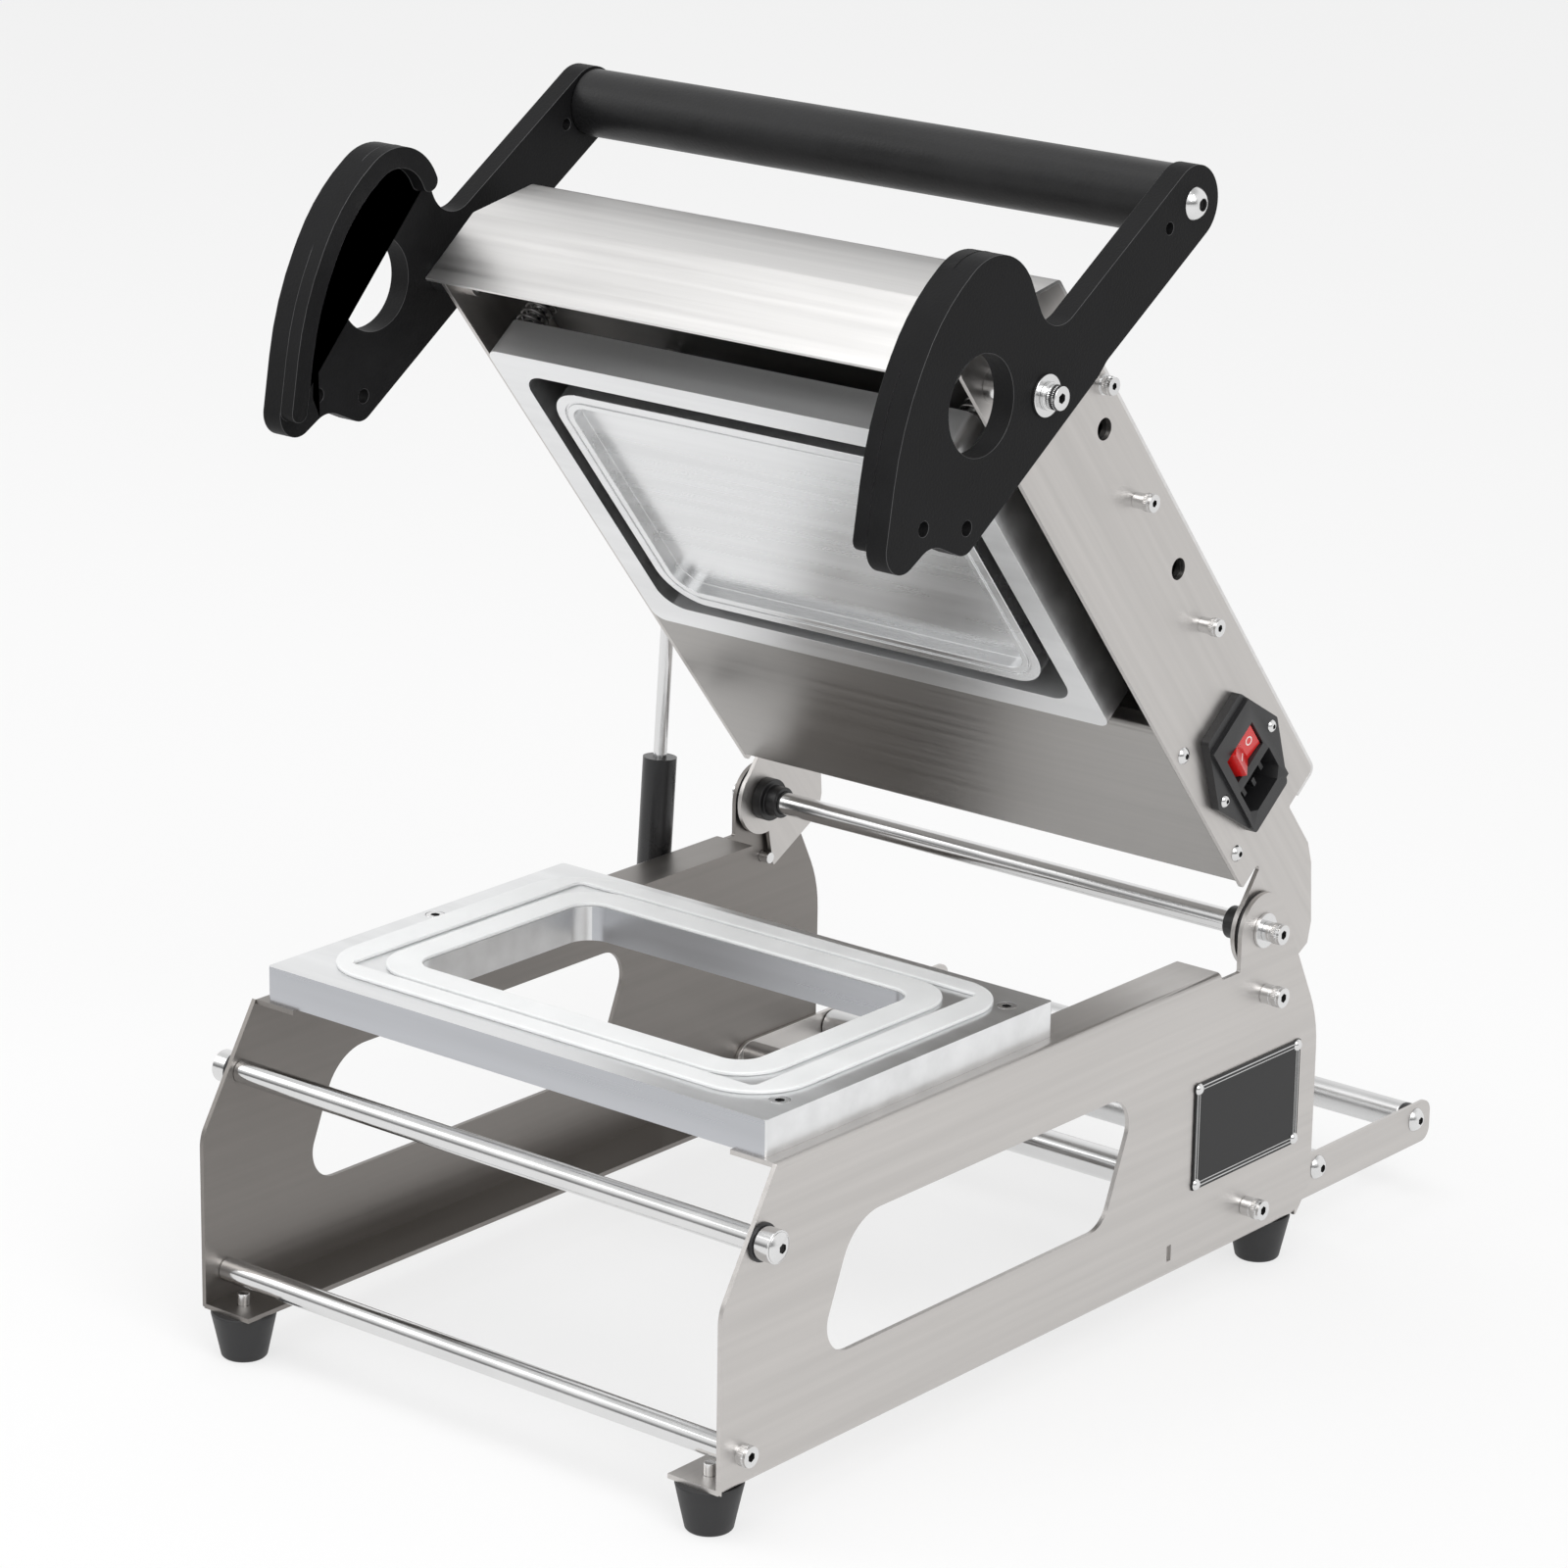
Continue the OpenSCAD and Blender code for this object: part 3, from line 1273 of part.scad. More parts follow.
module strut_lower_stud() {
    color("silver") on_base() translate([0, strut_low_y, strut_low_z]) rotate([0, -90, 0]) {
        translate([0, 0, base_in - stud_nut_h]) cylinder(d = stud_nut_d, h = stud_nut_h, $fn = 6);
        translate([0, 0, base_in - over]) cylinder(d = stud_d,
            h = -strut_x + strut_eye_t / 2 + face_gap - base_in + over + stud_cap_t);
        translate([0, 0, base_half]) cylinder(d = stud_flange_d,
            h = -strut_x - strut_eye_t / 2 - face_gap - base_half);
        translate([0, 0, -strut_x + strut_eye_t / 2 + face_gap])
            cylinder(d = stud_cap_d, h = stud_cap_t);
    }
}

module strut_cylinder() {
    bore = strut_rod_d + 2 * strut_bore_clear;
    color("dimgray") on_strut() difference() {
        union() {
            bar(-strut_eye_t / 2, 0, 0, strut_eye_d, strut_eye_t);
            cylinder(d = strut_neck_d, h = strut_neck_l + over);
            translate([0, 0, strut_neck_l]) cylinder(d = strut_d, h = strut_body - strut_neck_l);
        }
        bar(-strut_eye_t / 2 - over, 0, 0, stud_d + 2 * run_fit, strut_eye_t + 2 * over);
        translate([0, 0, strut_neck_l + strut_cap_h])
            cylinder(d = bore, h = strut_body - strut_neck_l - 2 * strut_cap_h);
        translate([0, 0, strut_body - 2 * strut_cap_h])
            cylinder(d = strut_rod_d + 2 * run_fit, h = 2 * strut_cap_h + over);
    }
}

module strut_rod() {
    color("silver") on_strut() {
        translate([0, 0, strut_rod_in]) cylinder(d = strut_rod_d,
            h = strut_len - strut_rod_in - strut_eye_d / 2 + over);
        difference() {
            translate([0, 0, strut_len]) union() {
                bar(-strut_eye_t / 2, 0, 0, strut_eye_d, strut_eye_t);
                translate([0, 0, -strut_eye_d / 2 - 2 * stud_flange_t])
                    cylinder(d = strut_neck_d, h = strut_eye_d / 2);
            }
            bar(-strut_eye_t / 2 + stud_cap_t, 0, strut_len, stud_d, strut_eye_t);
        }
    }
}

module strut_upper_stud() {
    color("silver") on_head() translate([0, -strut_up_y, strut_up_z]) rotate([0, -90, 0]) {
        translate([0, 0, head_in - stud_nut_h]) cylinder(d = stud_nut_d, h = stud_nut_h, $fn = 6);
        translate([0, 0, head_in - over]) cylinder(d = stud_d, h = sheet_t + 2 * over);
        translate([0, 0, head_half]) cylinder(d = stud_flange_d,
            h = -strut_x - strut_eye_t / 2 - stud_end_gap - head_half);
    }
}

// Power inlet with its rocker switch, terminal block and leads

module on_inlet() on_head() translate([head_half, inlet_y, inlet_z]) children();

module inlet_outline() polygon(rounded([[-inlet_l / 2, -inlet_end_w / 2, inlet_r],
    [0, -inlet_w / 2, inlet_r], [inlet_l / 2, -inlet_end_w / 2, inlet_r],
    [inlet_l / 2, inlet_end_w / 2, inlet_r], [0, inlet_w / 2, inlet_r],
    [-inlet_l / 2, inlet_end_w / 2, inlet_r]]));

module socket_outline() polygon(rounded([[socket_y - socket_w / 2, -socket_l / 2, edge_r / 2],
    [socket_y + socket_w / 2 - socket_cut, -socket_l / 2, edge_r / 2],
    [socket_y + socket_w / 2, -socket_l / 2 + socket_cut, edge_r / 2],
    [socket_y + socket_w / 2, socket_l / 2 - socket_cut, edge_r / 2],
    [socket_y + socket_w / 2 - socket_cut, socket_l / 2, edge_r / 2],
    [socket_y - socket_w / 2, socket_l / 2, edge_r / 2]]));

module power_inlet() {
    body_l = inlet_body_l - 2 * screw_fit;
    body_w = inlet_body_w - 2 * screw_fit;
    floor_t = 2 * inlet_wall;
    color("black") on_inlet() {
        difference() {
            union() {
                across(0, inlet_t) inlet_outline();
                across(0, inlet_t + inlet_raise)
                    square([inlet_frame_l, inlet_frame_w], center = true);
                across(-inlet_body_h, inlet_body_h + over) square([body_l, body_w], center = true);
            }
            across(inlet_t + inlet_raise - socket_depth, socket_depth + over) socket_outline();
            translate([-inlet_body_h + floor_t, rocker_y - rocker_w / 2 - screw_fit, -rocker_l / 2
                - screw_fit]) cube([inlet_body_h + inlet_t + inlet_raise, rocker_w + 2 * screw_fit,
                rocker_l + 2 * screw_fit]);
            translate([-rocker_pin_x, rocker_y, 0]) rotate([90, 0, 0])
                cylinder(d = rocker_pin_d + 2 * run_fit, h = rocker_w + 2 * inlet_wall, center = true);
            for (z = [-inlet_pitch / 2, inlet_pitch / 2])
                bar(-over, 0, z, inlet_screw_d + 2 * screw_fit, inlet_t + 2 * over);
        }
        for (p = [[-pin_side, -pin_pitch], [pin_side, 0], [-pin_side, pin_pitch]])
            translate([inlet_t + inlet_raise - socket_depth - over, socket_y + p[0] - pin_w / 2, p[1]
                - pin_t / 2]) cube([pin_l + over, pin_w, pin_t]);
        for (z = [-pin_pitch, 0, pin_pitch])
            translate([-inlet_body_h - tab_l, socket_y - tab_w / 2, z - tab_t / 2])
                cube([tab_l + over, tab_w, tab_t]);
    }
}

module inlet_screws() color("silver") on_inlet() for (z = [-inlet_pitch / 2, inlet_pitch / 2])
    pointing_out(inlet_t, 0, z) dome_screw(inlet_screw_d, inlet_screw_l, inlet_screw_head,
        inlet_screw_head_h, inlet_screw_key, inlet_screw_key_h);

// The rocker stands with its lower end pressed in, its two faces meeting over the pin
module rocker_switch() {
    half = rocker_l / 2;
    color("red") on_inlet() translate([-rocker_pin_x, rocker_y, 0]) rotate([0, -rocker_tilt, 0]) {
        rotate([90, 0, 0]) cylinder(d = rocker_pin_d, h = rocker_w + 2 * inlet_wall - screw_fit,
            center = true);
        rotate([90, 0, 0]) translate([0, 0, -rocker_w / 2]) linear_extrude(rocker_w)
            polygon([[-rocker_hub_r, -rocker_hub_r / 2], [-rocker_hub_r, rocker_hub_r / 2],
                [rocker_pin_x - rocker_hub_r / 2, half * rocker_low_share - run_fit],
                [rocker_pin_x + rocker_rise, half * rocker_top_share - run_fit],
                [rocker_pin_x + rocker_rise * rocker_dip_share, 0],
                [rocker_pin_x + rocker_rise, -half * rocker_top_share + run_fit],
                [rocker_pin_x - rocker_hub_r / 2, -half * rocker_low_share + run_fit]]);
    }
}

module on_block() on_head() translate([block_x, block_y, head_low + cover_t]) children();

module terminal_block() {
    color("ivory") on_block() difference() {
        translate([-block_l / 2, -block_w / 2, 0]) cube([block_l, block_w, block_h]);
        for (i = [0 : block_ways - 1]) {
            translate([(i - (block_ways - 1) / 2) * block_pitch, 0, block_h / 2])
                rotate([90, 0, 0]) cylinder(d = block_way_d, h = block_w + 2 * over, center = true);
            translate([(i - (block_ways - 1) / 2) * block_pitch, 0, block_h / 2])
                cylinder(d = block_way_d, h = block_h);
        }
    }
}

// A lead leaves its tab to the left, sinks and runs into its way of the block
module inlet_leads() {
    tab_x = head_half - inlet_body_h - tab_l;
    color("black") on_head() for (i = [0 : 2]) {
        z = inlet_z + (i - 1) * pin_pitch;
        end_x = block_x + ((block_ways - 1) / 2 - i) * block_pitch;
        y = inlet_y + socket_y;
        way_z = head_low + cover_t + block_h / 2;
        points = [[tab_x, y, z], [tab_x - lead_drop / 2, y, z], [(tab_x + end_x) / 2, y + i * lead_step,
            (z + way_z) / 2 + lead_step], [end_x + lead_drop / 2, y + 2 * lead_step, way_z + lead_step],
            [end_x, y, way_z], [end_x, block_y + block_w / 2 - lead_step, way_z]];
        lead(points);
    }
}

function bezier_mid(a, b, c, t) = a * (1 - t) * (1 - t) + 2 * b * t * (1 - t) + c * t * t;
// A smooth line through the middles of the stretches of a chain of points
function smooth(pts, steps) = concat([pts[0]],
    [for (i = [1 : len(pts) - 2], k = [0 : steps])
        bezier_mid((pts[i - 1] + pts[i]) / 2, pts[i], (pts[i] + pts[i + 1]) / 2, k / steps)],
    [pts[len(pts) - 1]]);

module lead(points) {
    path = smooth(points, 4);
    last = len(path) - 1;
    rings = [for (i = [0 : last])
        let (t = unit(path[min(i + 1, last)] - path[max(i - 1, 0)]),
            n = unit(cross(abs(t[2]) > 0.9 ? [0, 1, 0] : [0, 0, 1], t)), b = cross(t, n))
        [for (k = [0 : lead_sides - 1]) let (a = 360 * k / lead_sides)
            path[i] + lead_d / 2 * (cos(a) * n + sin(a) * b)]];
    tube(rings);
}

right_side_plate();
left_side_plate();
lower_mould();
mould_gaskets();
mould_screws();
feet();
foot_screws();
bolt_spacers();
upper_front_rod();
lower_front_rod();
frame_bolts();
latch_washers();
latch_screws();
right_latch_roller();
left_latch_roller();
hinge_shaft();
hinge_washers();
hinge_spacers();
data_plate();
data_plate_rivets();
rear_tie_rod();
right_film_arm();
left_film_arm();
film_roller_shafts();
film_roller_screws();
front_film_roller();
rear_film_roller();
rear_roller_bushes();
strut_lower_stud();
strut_cylinder();
strut_rod();
strut_upper_stud();
right_head_plate();
left_head_plate();
top_cover();
bottom_cover();
cover_screws();
cover_bolts();
hinge_bushes();
carrier_plate();
carrier_bolts();
power_inlet();
inlet_screws();
rocker_switch();
terminal_block();
inlet_leads();
pressing_frame();
frame_guide_bolts();
frame_springs();
sealing_plate();
heater();
plate_guide_bolts();
plate_springs();
right_lever();
left_lever();
handle_bar();
handle_screws();
lever_pivot_bolts();
lever_washers();
lever_spacers();
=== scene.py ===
"""Looks of the tray sealer: finishes, softened edges, small trim, studio, lights and camera."""

import json
import math

import bmesh
import bpy
from mathutils import Matrix, Vector


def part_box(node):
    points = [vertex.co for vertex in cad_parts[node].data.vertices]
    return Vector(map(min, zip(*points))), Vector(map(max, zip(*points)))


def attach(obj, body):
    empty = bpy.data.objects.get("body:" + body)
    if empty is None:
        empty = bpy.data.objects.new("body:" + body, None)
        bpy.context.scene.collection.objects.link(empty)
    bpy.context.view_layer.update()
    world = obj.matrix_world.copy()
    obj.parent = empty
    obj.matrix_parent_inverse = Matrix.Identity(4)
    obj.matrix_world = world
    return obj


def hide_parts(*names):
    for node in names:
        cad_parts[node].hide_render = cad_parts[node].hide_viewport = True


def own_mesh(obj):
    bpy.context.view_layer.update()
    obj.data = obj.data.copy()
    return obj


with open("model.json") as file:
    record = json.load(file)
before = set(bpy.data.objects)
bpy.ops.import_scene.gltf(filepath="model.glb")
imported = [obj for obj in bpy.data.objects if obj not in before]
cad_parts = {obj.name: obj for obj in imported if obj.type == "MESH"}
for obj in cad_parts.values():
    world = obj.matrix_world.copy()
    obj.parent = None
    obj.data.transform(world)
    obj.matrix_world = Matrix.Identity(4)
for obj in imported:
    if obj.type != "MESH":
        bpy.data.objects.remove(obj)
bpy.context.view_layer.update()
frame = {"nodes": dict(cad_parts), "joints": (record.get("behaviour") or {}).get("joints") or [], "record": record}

MM = 0.001
JOINTS = {j["name"]: j for j in frame["joints"]}
BODY_OF = {
    node: body
    for body, nodes in frame["record"]["behaviour"]["bodies"].items()
    for node in nodes
}
HINGE = Vector(JOINTS["lid_hinge"]["pos_m"])
OPEN_ANGLE = math.radians(JOINTS["lid_hinge"]["range_deg"][1])
HEAD_UP = Vector(JOINTS["press_slide"]["axis"])
HEAD_BACK = Vector((0, math.cos(OPEN_ANGLE), -math.sin(OPEN_ANGLE)))
RIGHT = Vector((1, 0, 0))


# Camera

# Found from the straight edges of the base in the photograph.
CAMERA_PLACE = (1.3444, -1.6312, 0.8917)
CAMERA_AZIMUTH = math.radians(39.352774)
CAMERA_ELEVATION = math.radians(17.44804)
CAMERA_ROLL = math.radians(-0.869153)
FOCAL_PIXELS = 5581.913
PHOTO_PIXELS = 1600
SENSOR_WIDTH = 36
CLIP_END = 100


def make_camera():
    """A long lens at the photograph's place."""
    azimuth, elevation, roll = CAMERA_AZIMUTH, CAMERA_ELEVATION, CAMERA_ROLL
    forward = Vector(
        (
            -math.sin(azimuth) * math.cos(elevation),
            math.cos(azimuth) * math.cos(elevation),
            -math.sin(elevation),
        )
    )
    level = Vector((math.cos(azimuth), math.sin(azimuth), 0))
    down = forward.cross(level)
    across = math.cos(roll) * level + math.sin(roll) * down
    fall = -math.sin(roll) * level + math.cos(roll) * down
    data = bpy.data.cameras.new("photo_camera")
    data.sensor_width = SENSOR_WIDTH
    data.lens = SENSOR_WIDTH * FOCAL_PIXELS / PHOTO_PIXELS
    data.clip_end = CLIP_END
    camera = bpy.data.objects.new("photo_camera", data)
    bpy.context.scene.collection.objects.link(camera)
    turn = Matrix((across, -fall, -forward)).transposed().to_4x4()
    camera.matrix_world = Matrix.Translation(CAMERA_PLACE) @ turn
    bpy.context.scene.camera = camera


# Materials


def map_range(tree, value, start, end, low, high):
    """A node that maps start..end onto low..high."""
    made = tree.nodes.new("ShaderNodeMapRange")
    for key, number in (("From Min", start), ("From Max", end), ("To Min", low), ("To Max", high)):
        made.inputs[key].default_value = number
    tree.links.new(value, made.inputs["Value"])
    return made


def maths(tree, operation, first, second):
    """A math node's result. Its second value is a socket or a number."""
    made = tree.nodes.new("ShaderNodeMath")
    made.operation = operation
    tree.links.new(first, made.inputs[0])
    if isinstance(second, float):
        made.inputs[1].default_value = second
    else:
        tree.links.new(second, made.inputs[1])
    return made.outputs[0]


def mix_shaders(tree, factor, first, second, output):
    """Goes from the first shader to the second by factor, into the output node."""
    made = tree.nodes.new("ShaderNodeMixShader")
    for index, source in enumerate((factor, first, second)):
        tree.links.new(source, made.inputs[index])
    tree.links.new(made.outputs[0], output.inputs["Surface"])


def seen_directly(tree):
    """1 for the rays by which the camera, metal or glass shows a surface, otherwise 0."""
    path = tree.nodes.new("ShaderNodeLightPath")
    seen = path.outputs["Is Camera Ray"]
    for key in ("Is Glossy Ray", "Is Transmission Ray"):
        seen = maths(tree, "MAXIMUM", seen, path.outputs[key])
    return seen


class Surface:
    """A principled material with node shortcuts. Its pattern follows the object's own space."""

    def __init__(self, name, colour, roughness, metallic=0.0):
        self.material = bpy.data.materials.new(name)
        self.material.use_nodes = True
        self.material.diffuse_color = (*colour, 1)
        self.tree = self.material.node_tree
        self.shader = self.tree.nodes["Principled BSDF"]
        self.colour = colour
        self.roughness = roughness
        self.set("Base Color", (*colour, 1))
        self.set("Roughness", roughness)
        self.set("Metallic", metallic)

    def set(self, socket, value):
        self.shader.inputs[socket].default_value = value

    def node(self, kind, **values):
        made = self.tree.nodes.new(kind)
        for key, value in values.items():
            if key in made.inputs:
                made.inputs[key].default_value = value
            else:
                setattr(made, key, value)
        return made

    def link(self, source, target):
        self.tree.links.new(source, target)

    def space(self, stretch, tilt):
        """Object space turned about X by tilt and then stretched."""
        place = self.node("ShaderNodeTexCoord").outputs["Object"]
        turned = self.node("ShaderNodeMapping", Rotation=(tilt, 0, 0))
        self.link(place, turned.inputs["Vector"])
        scaled = self.node("ShaderNodeMapping", Scale=stretch)
        self.link(turned.outputs["Vector"], scaled.inputs["Vector"])
        return scaled.outputs["Vector"]

    def noise(self, scale, detail=3.0, rough=0.5, stretch=(1, 1, 1), tilt=0.0):
        place = self.space(stretch, tilt)
        made = self.node("ShaderNodeTexNoise", Scale=scale, Detail=detail, Roughness=rough)
        self.link(place, made.inputs["Vector"])
        return made.outputs["Fac"]

    def between(self, value, low, high, start=0.3, end=0.7):
        """A noise value, which lies mostly in start..end, mapped onto low..high."""
        return map_range(self.tree, value, start, end, low, high).outputs["Result"]

    def grain(self, axis, across, along, tilt=0.0, detail=2.0):
        """Noise drawn out along axis 0, 1 or 2: how often it changes in a metre, both ways."""
        stretch = [across] * 3
        stretch[axis] = along
        return self.noise(1.0, detail=detail, stretch=stretch, tilt=tilt)

    def blend(self, factor, first, second):
        """A colour between two, by factor."""
        made = self.node("ShaderNodeMix", data_type="RGBA")
        self.link(factor, made.inputs["Factor"])
        for key, colour in (("A", first), ("B", second)):
            socket = [s for s in made.inputs if s.name == key and s.type == "RGBA"][0]
            socket.default_value = (*colour, 1)
        return [s for s in made.outputs if s.type == "RGBA"][0]

    def tint(self, factor, spread):
        """Base colour that wanders by spread to both sides of the plain colour."""
        share = self.between(factor, 0.0, 1.0)
        low = tuple(c * (1 - spread) for c in self.colour)
        high = tuple(min(1, c * (1 + spread)) for c in self.colour)
        self.link(self.blend(share, low, high), self.shader.inputs["Base Color"])

    def shine(self, factor, spread):
        """Roughness that wanders by spread to both sides of the plain roughness."""
        low, high = self.roughness - spread, self.roughness + spread
        self.link(self.between(factor, low, high), self.shader.inputs["Roughness"])

    def bump(self, height, depth):
        made = self.node("ShaderNodeBump", Strength=1.0, Distance=depth)
        self.link(height, made.inputs["Height"])
        self.link(made.outputs["Normal"], self.shader.inputs["Normal"])


def brushed(name, colour, roughness, grain, tilt=0.0):
    """Sheet metal with a grain along one axis: 0, 1 or 2 for X, Y or Z before the tilt."""
    surface = Surface(name, colour, roughness, metallic=1.0)
    lines = surface.grain(grain, across=1400.0, along=14.0, tilt=tilt)
    streaks = surface.grain(grain, across=260.0, along=5.0, tilt=tilt, detail=3.0)
    clouds = surface.noise(7.0, detail=4.0, tilt=tilt)
    surface.tint(streaks, spread=0.05)
    both = maths(surface.tree, "ADD", streaks, clouds)
    smooth, dull = roughness - 0.05, roughness + 0.06
    gloss = surface.between(both, smooth, dull, start=0.7, end=1.3)
    surface.link(gloss, surface.shader.inputs["Roughness"])
    surface.bump(lines, depth=0.02 * MM)
    return surface.material


def milled(name, colour, roughness, grain, tilt=0.0):
    """Machined aluminium: faint cutter lines and wide soft streaks along one axis."""
    surface = Surface(name, colour, roughness, metallic=1.0)
    cuts = surface.grain(grain, across=700.0, along=9.0, tilt=tilt)
    streaks = surface.grain(grain, across=90.0, along=4.0, tilt=tilt, detail=3.0)
    surface.tint(streaks, spread=0.06)
    surface.shine(streaks, spread=0.03)
    surface.bump(cuts, depth=0.012 * MM)
    return surface.material


def plated(name, colour, roughness):
    """Bright plated steel with a trace of handling on it."""
    surface = Surface(name, colour, roughness, metallic=1.0)
    smears = surface.noise(60.0, detail=5.0, rough=0.6)
    surface.tint(smears, spread=0.03)
    surface.shine(smears, spread=0.04)
    return surface.material


def ground_bar(name, colour, roughness):
    """Drawn bar along X with fine rings across it."""
    surface = Surface(name, colour, roughness, metallic=1.0)
    rings = surface.grain(0, across=30.0, along=900.0)
    smears = surface.noise(30.0, detail=4.0)
    surface.tint(smears, spread=0.03)
    surface.shine(smears, spread=0.05)
    surface.bump(rings, depth=0.008 * MM)
    return surface.material


def textured_coat(name, colour, roughness, grain_size, depth, specular=0.5):
    """Fine textured black coat: small even bumps with wear in the gloss."""
    surface = Surface(name, colour, roughness)
    surface.set("Specular IOR Level", specular)
    grain = surface.noise(1.0 / grain_size, detail=2.0, rough=0.55)
    wear = surface.noise(35.0, detail=4.0, rough=0.6)
    surface.tint(wear, spread=0.25)
    surface.shine(wear, spread=0.06)
    surface.bump(grain, depth)
    return surface.material


def moulded(name, colour, roughness, grain_size=0.6 * MM, depth=0.03 * MM, coat=0.0):
    """Moulded plastic or rubber with a fine tool texture."""
    surface = Surface(name, colour, roughness)
    surface.set("Coat Weight", coat)
    surface.set("Coat Roughness", 0.15)
    grain = surface.noise(1.0 / grain_size, detail=2.0)
    clouds = surface.noise(45.0, detail=3.0)
    surface.tint(clouds, spread=0.08)
    surface.shine(clouds, spread=0.05)
    surface.bump(grain, depth)
    return surface.material


def silicone(name):
    """Pale silicone rubber that lets some light in."""
    surface = Surface(name, (0.83, 0.84, 0.84), 0.36)
    surface.set("Subsurface Weight", 0.35)
    surface.set("Subsurface Radius", [4 * MM] * 3)
    surface.set("Subsurface Scale", 0.6)
    surface.set("Coat Weight", 0.15)
    surface.set("Coat Roughness", 0.3)
    clouds = surface.noise(55.0, detail=4.0)
    surface.tint(clouds, spread=0.03)
    surface.shine(clouds, spread=0.06)
    surface.bump(surface.noise(600.0), depth=0.02 * MM)
    return surface.material


STEEL = (0.57, 0.55, 0.533)
# The same steel darkened for the left plate: painted shade on its shadowed inner face.
PAINTED_SHADE_STEEL = (0.25, 0.235, 0.222)
PALE_STEEL = (0.72, 0.712, 0.703)
ALUMINIUM = (0.78, 0.785, 0.79)
BRIGHT = (0.72, 0.72, 0.72)
INK = (0.009, 0.009, 0.0095)

steel_side = brushed("steel_side", STEEL, 0.36, grain=1)
# The left plate's steel, darkened as painted shade.
steel_painted_shade = brushed("steel_painted_shade", PAINTED_SHADE_STEEL, 0.38, grain=1)
steel_arm = brushed("steel_arm", STEEL, 0.34, grain=1)
steel_head = brushed("steel_head", STEEL, 0.36, grain=1, tilt=OPEN_ANGLE)
steel_cover = brushed("steel_cover", PALE_STEEL, 0.33, grain=0, tilt=OPEN_ANGLE)
steel_under = brushed("steel_under", (0.39, 0.377, 0.364), 0.33, grain=0, tilt=OPEN_ANGLE)
# Dark steel for the carrier plate inside the head: painted shade of the head's inside.
steel_inner_painted_shade = brushed("steel_inner_painted_shade", (0.2, 0.195, 0.19), 0.45, grain=0, tilt=OPEN_ANGLE)
mould_metal = milled("mould_metal", ALUMINIUM, 0.31, grain=0)
# Darker aluminium for the lower mould's front faces: painted shade on that side.
mould_front_painted_shade = milled("mould_front_painted_shade", (0.5, 0.51, 0.535), 0.30, grain=0)
press_metal = milled("press_metal", ALUMINIUM, 0.32, grain=0, tilt=OPEN_ANGLE)
press_side = milled("press_side", ALUMINIUM, 0.5, grain=0, tilt=OPEN_ANGLE)
seal_metal = milled("seal_metal", ALUMINIUM, 0.28, grain=0, tilt=OPEN_ANGLE)
bar_metal = ground_bar("bar_metal", BRIGHT, 0.16)
satin_bar = ground_bar("satin_bar", (0.66, 0.66, 0.66), 0.30)
screw_metal = plated("screw_metal", BRIGHT, 0.17)
spring_metal = plated("spring_metal", (0.2, 0.195, 0.19), 0.3)
# Near black for the insides of the key sockets: painted shade.
socket_painted_shade = moulded("socket_painted_shade", (0.012, 0.012, 0.012), 0.5)
lever_coat = textured_coat("lever_coat", INK, 0.52, 1.1 * MM, 0.12 * MM, specular=0.1)
# Lighter, glossier coat on the levers' rounded edges: a painted highlight along their rims.
lever_rim_painted_highlight = textured_coat("lever_rim_painted_highlight", (0.06, 0.06, 0.062), 0.34, 1.1 * MM, 0.04 * MM)
grip_coat = textured_coat(
    "grip_coat", (0.01, 0.01, 0.0105), 0.42, 1.4 * MM, 0.09 * MM, specular=0.3
)
strut_coat = textured_coat("strut_coat", (0.012, 0.012, 0.013), 0.28, 1.6 * MM, 0.02 * MM)
label_coat = textured_coat(
    "label_coat", (0.012, 0.012, 0.0125), 0.34, 2.2 * MM, 0.01 * MM, specular=0.3
)
label_line = plated("label_line", (0.6, 0.6, 0.6), 0.3)
foot_rubber = moulded("foot_rubber", (0.017, 0.017, 0.018), 0.52, 0.9 * MM, 0.04 * MM)
black_plastic = moulded("black_plastic", (0.014, 0.014, 0.015), 0.38, 0.5 * MM, 0.03 * MM)
switch_red = moulded("switch_red", (0.62, 0.012, 0.012), 0.22, 0.9 * MM, 0.01 * MM, coat=0.5)
switch_mark = moulded("switch_mark", (0.85, 0.8, 0.78), 0.4)
pale_plastic = moulded("pale_plastic", (0.72, 0.7, 0.62), 0.45)
lead_skin = moulded("lead_skin", (0.02, 0.02, 0.022), 0.42)
heater_skin = moulded("heater_skin", (0.32, 0.29, 0.25), 0.7)
seal_rubber = silicone("seal_rubber")


# Pieces taken over from the solids, with softened edges

# Points closer than WELD are one, and faces that meet within FLAT_DEGREES are one face.
WELD = 0.002 * MM
FLAT_DEGREES = 0.6
EDGE_DEGREES = 32
EDGE_SEGMENTS = 2


def clean_copy(node, name):
    """The solid's mesh as a new object, its flat faces merged so that only real edges are left."""
    made = bmesh.new()
    made.from_mesh(frame["nodes"][node].data)
    bmesh.ops.remove_doubles(made, verts=made.verts, dist=WELD)
    bmesh.ops.dissolve_limit(
        made, angle_limit=math.radians(FLAT_DEGREES), verts=made.verts, edges=made.edges
    )
    mesh = bpy.data.meshes.new(name)
    made.to_mesh(mesh)
    made.free()
    mesh.materials.clear()
    piece = bpy.data.objects.new(name, mesh)
    bpy.context.scene.collection.objects.link(piece)
    return piece


def smooth_by_angle(mesh, degrees):
    """Smooth shading with sharp edges where faces meet by more than the angle."""
    mesh.polygons.foreach_set("use_smooth", [True] * len(mesh.polygons))
    mesh.set_sharp_from_angle(angle=math.radians(degrees))


def apply_modifiers(piece):
    """Turns the piece with its modifiers into a plain mesh."""
    bpy.context.view_layer.update()
    view = bpy.context.evaluated_depsgraph_get()
    mesh = bpy.data.meshes.new_from_object(piece.evaluated_get(view))
    piece.modifiers.clear()
    piece.data = mesh


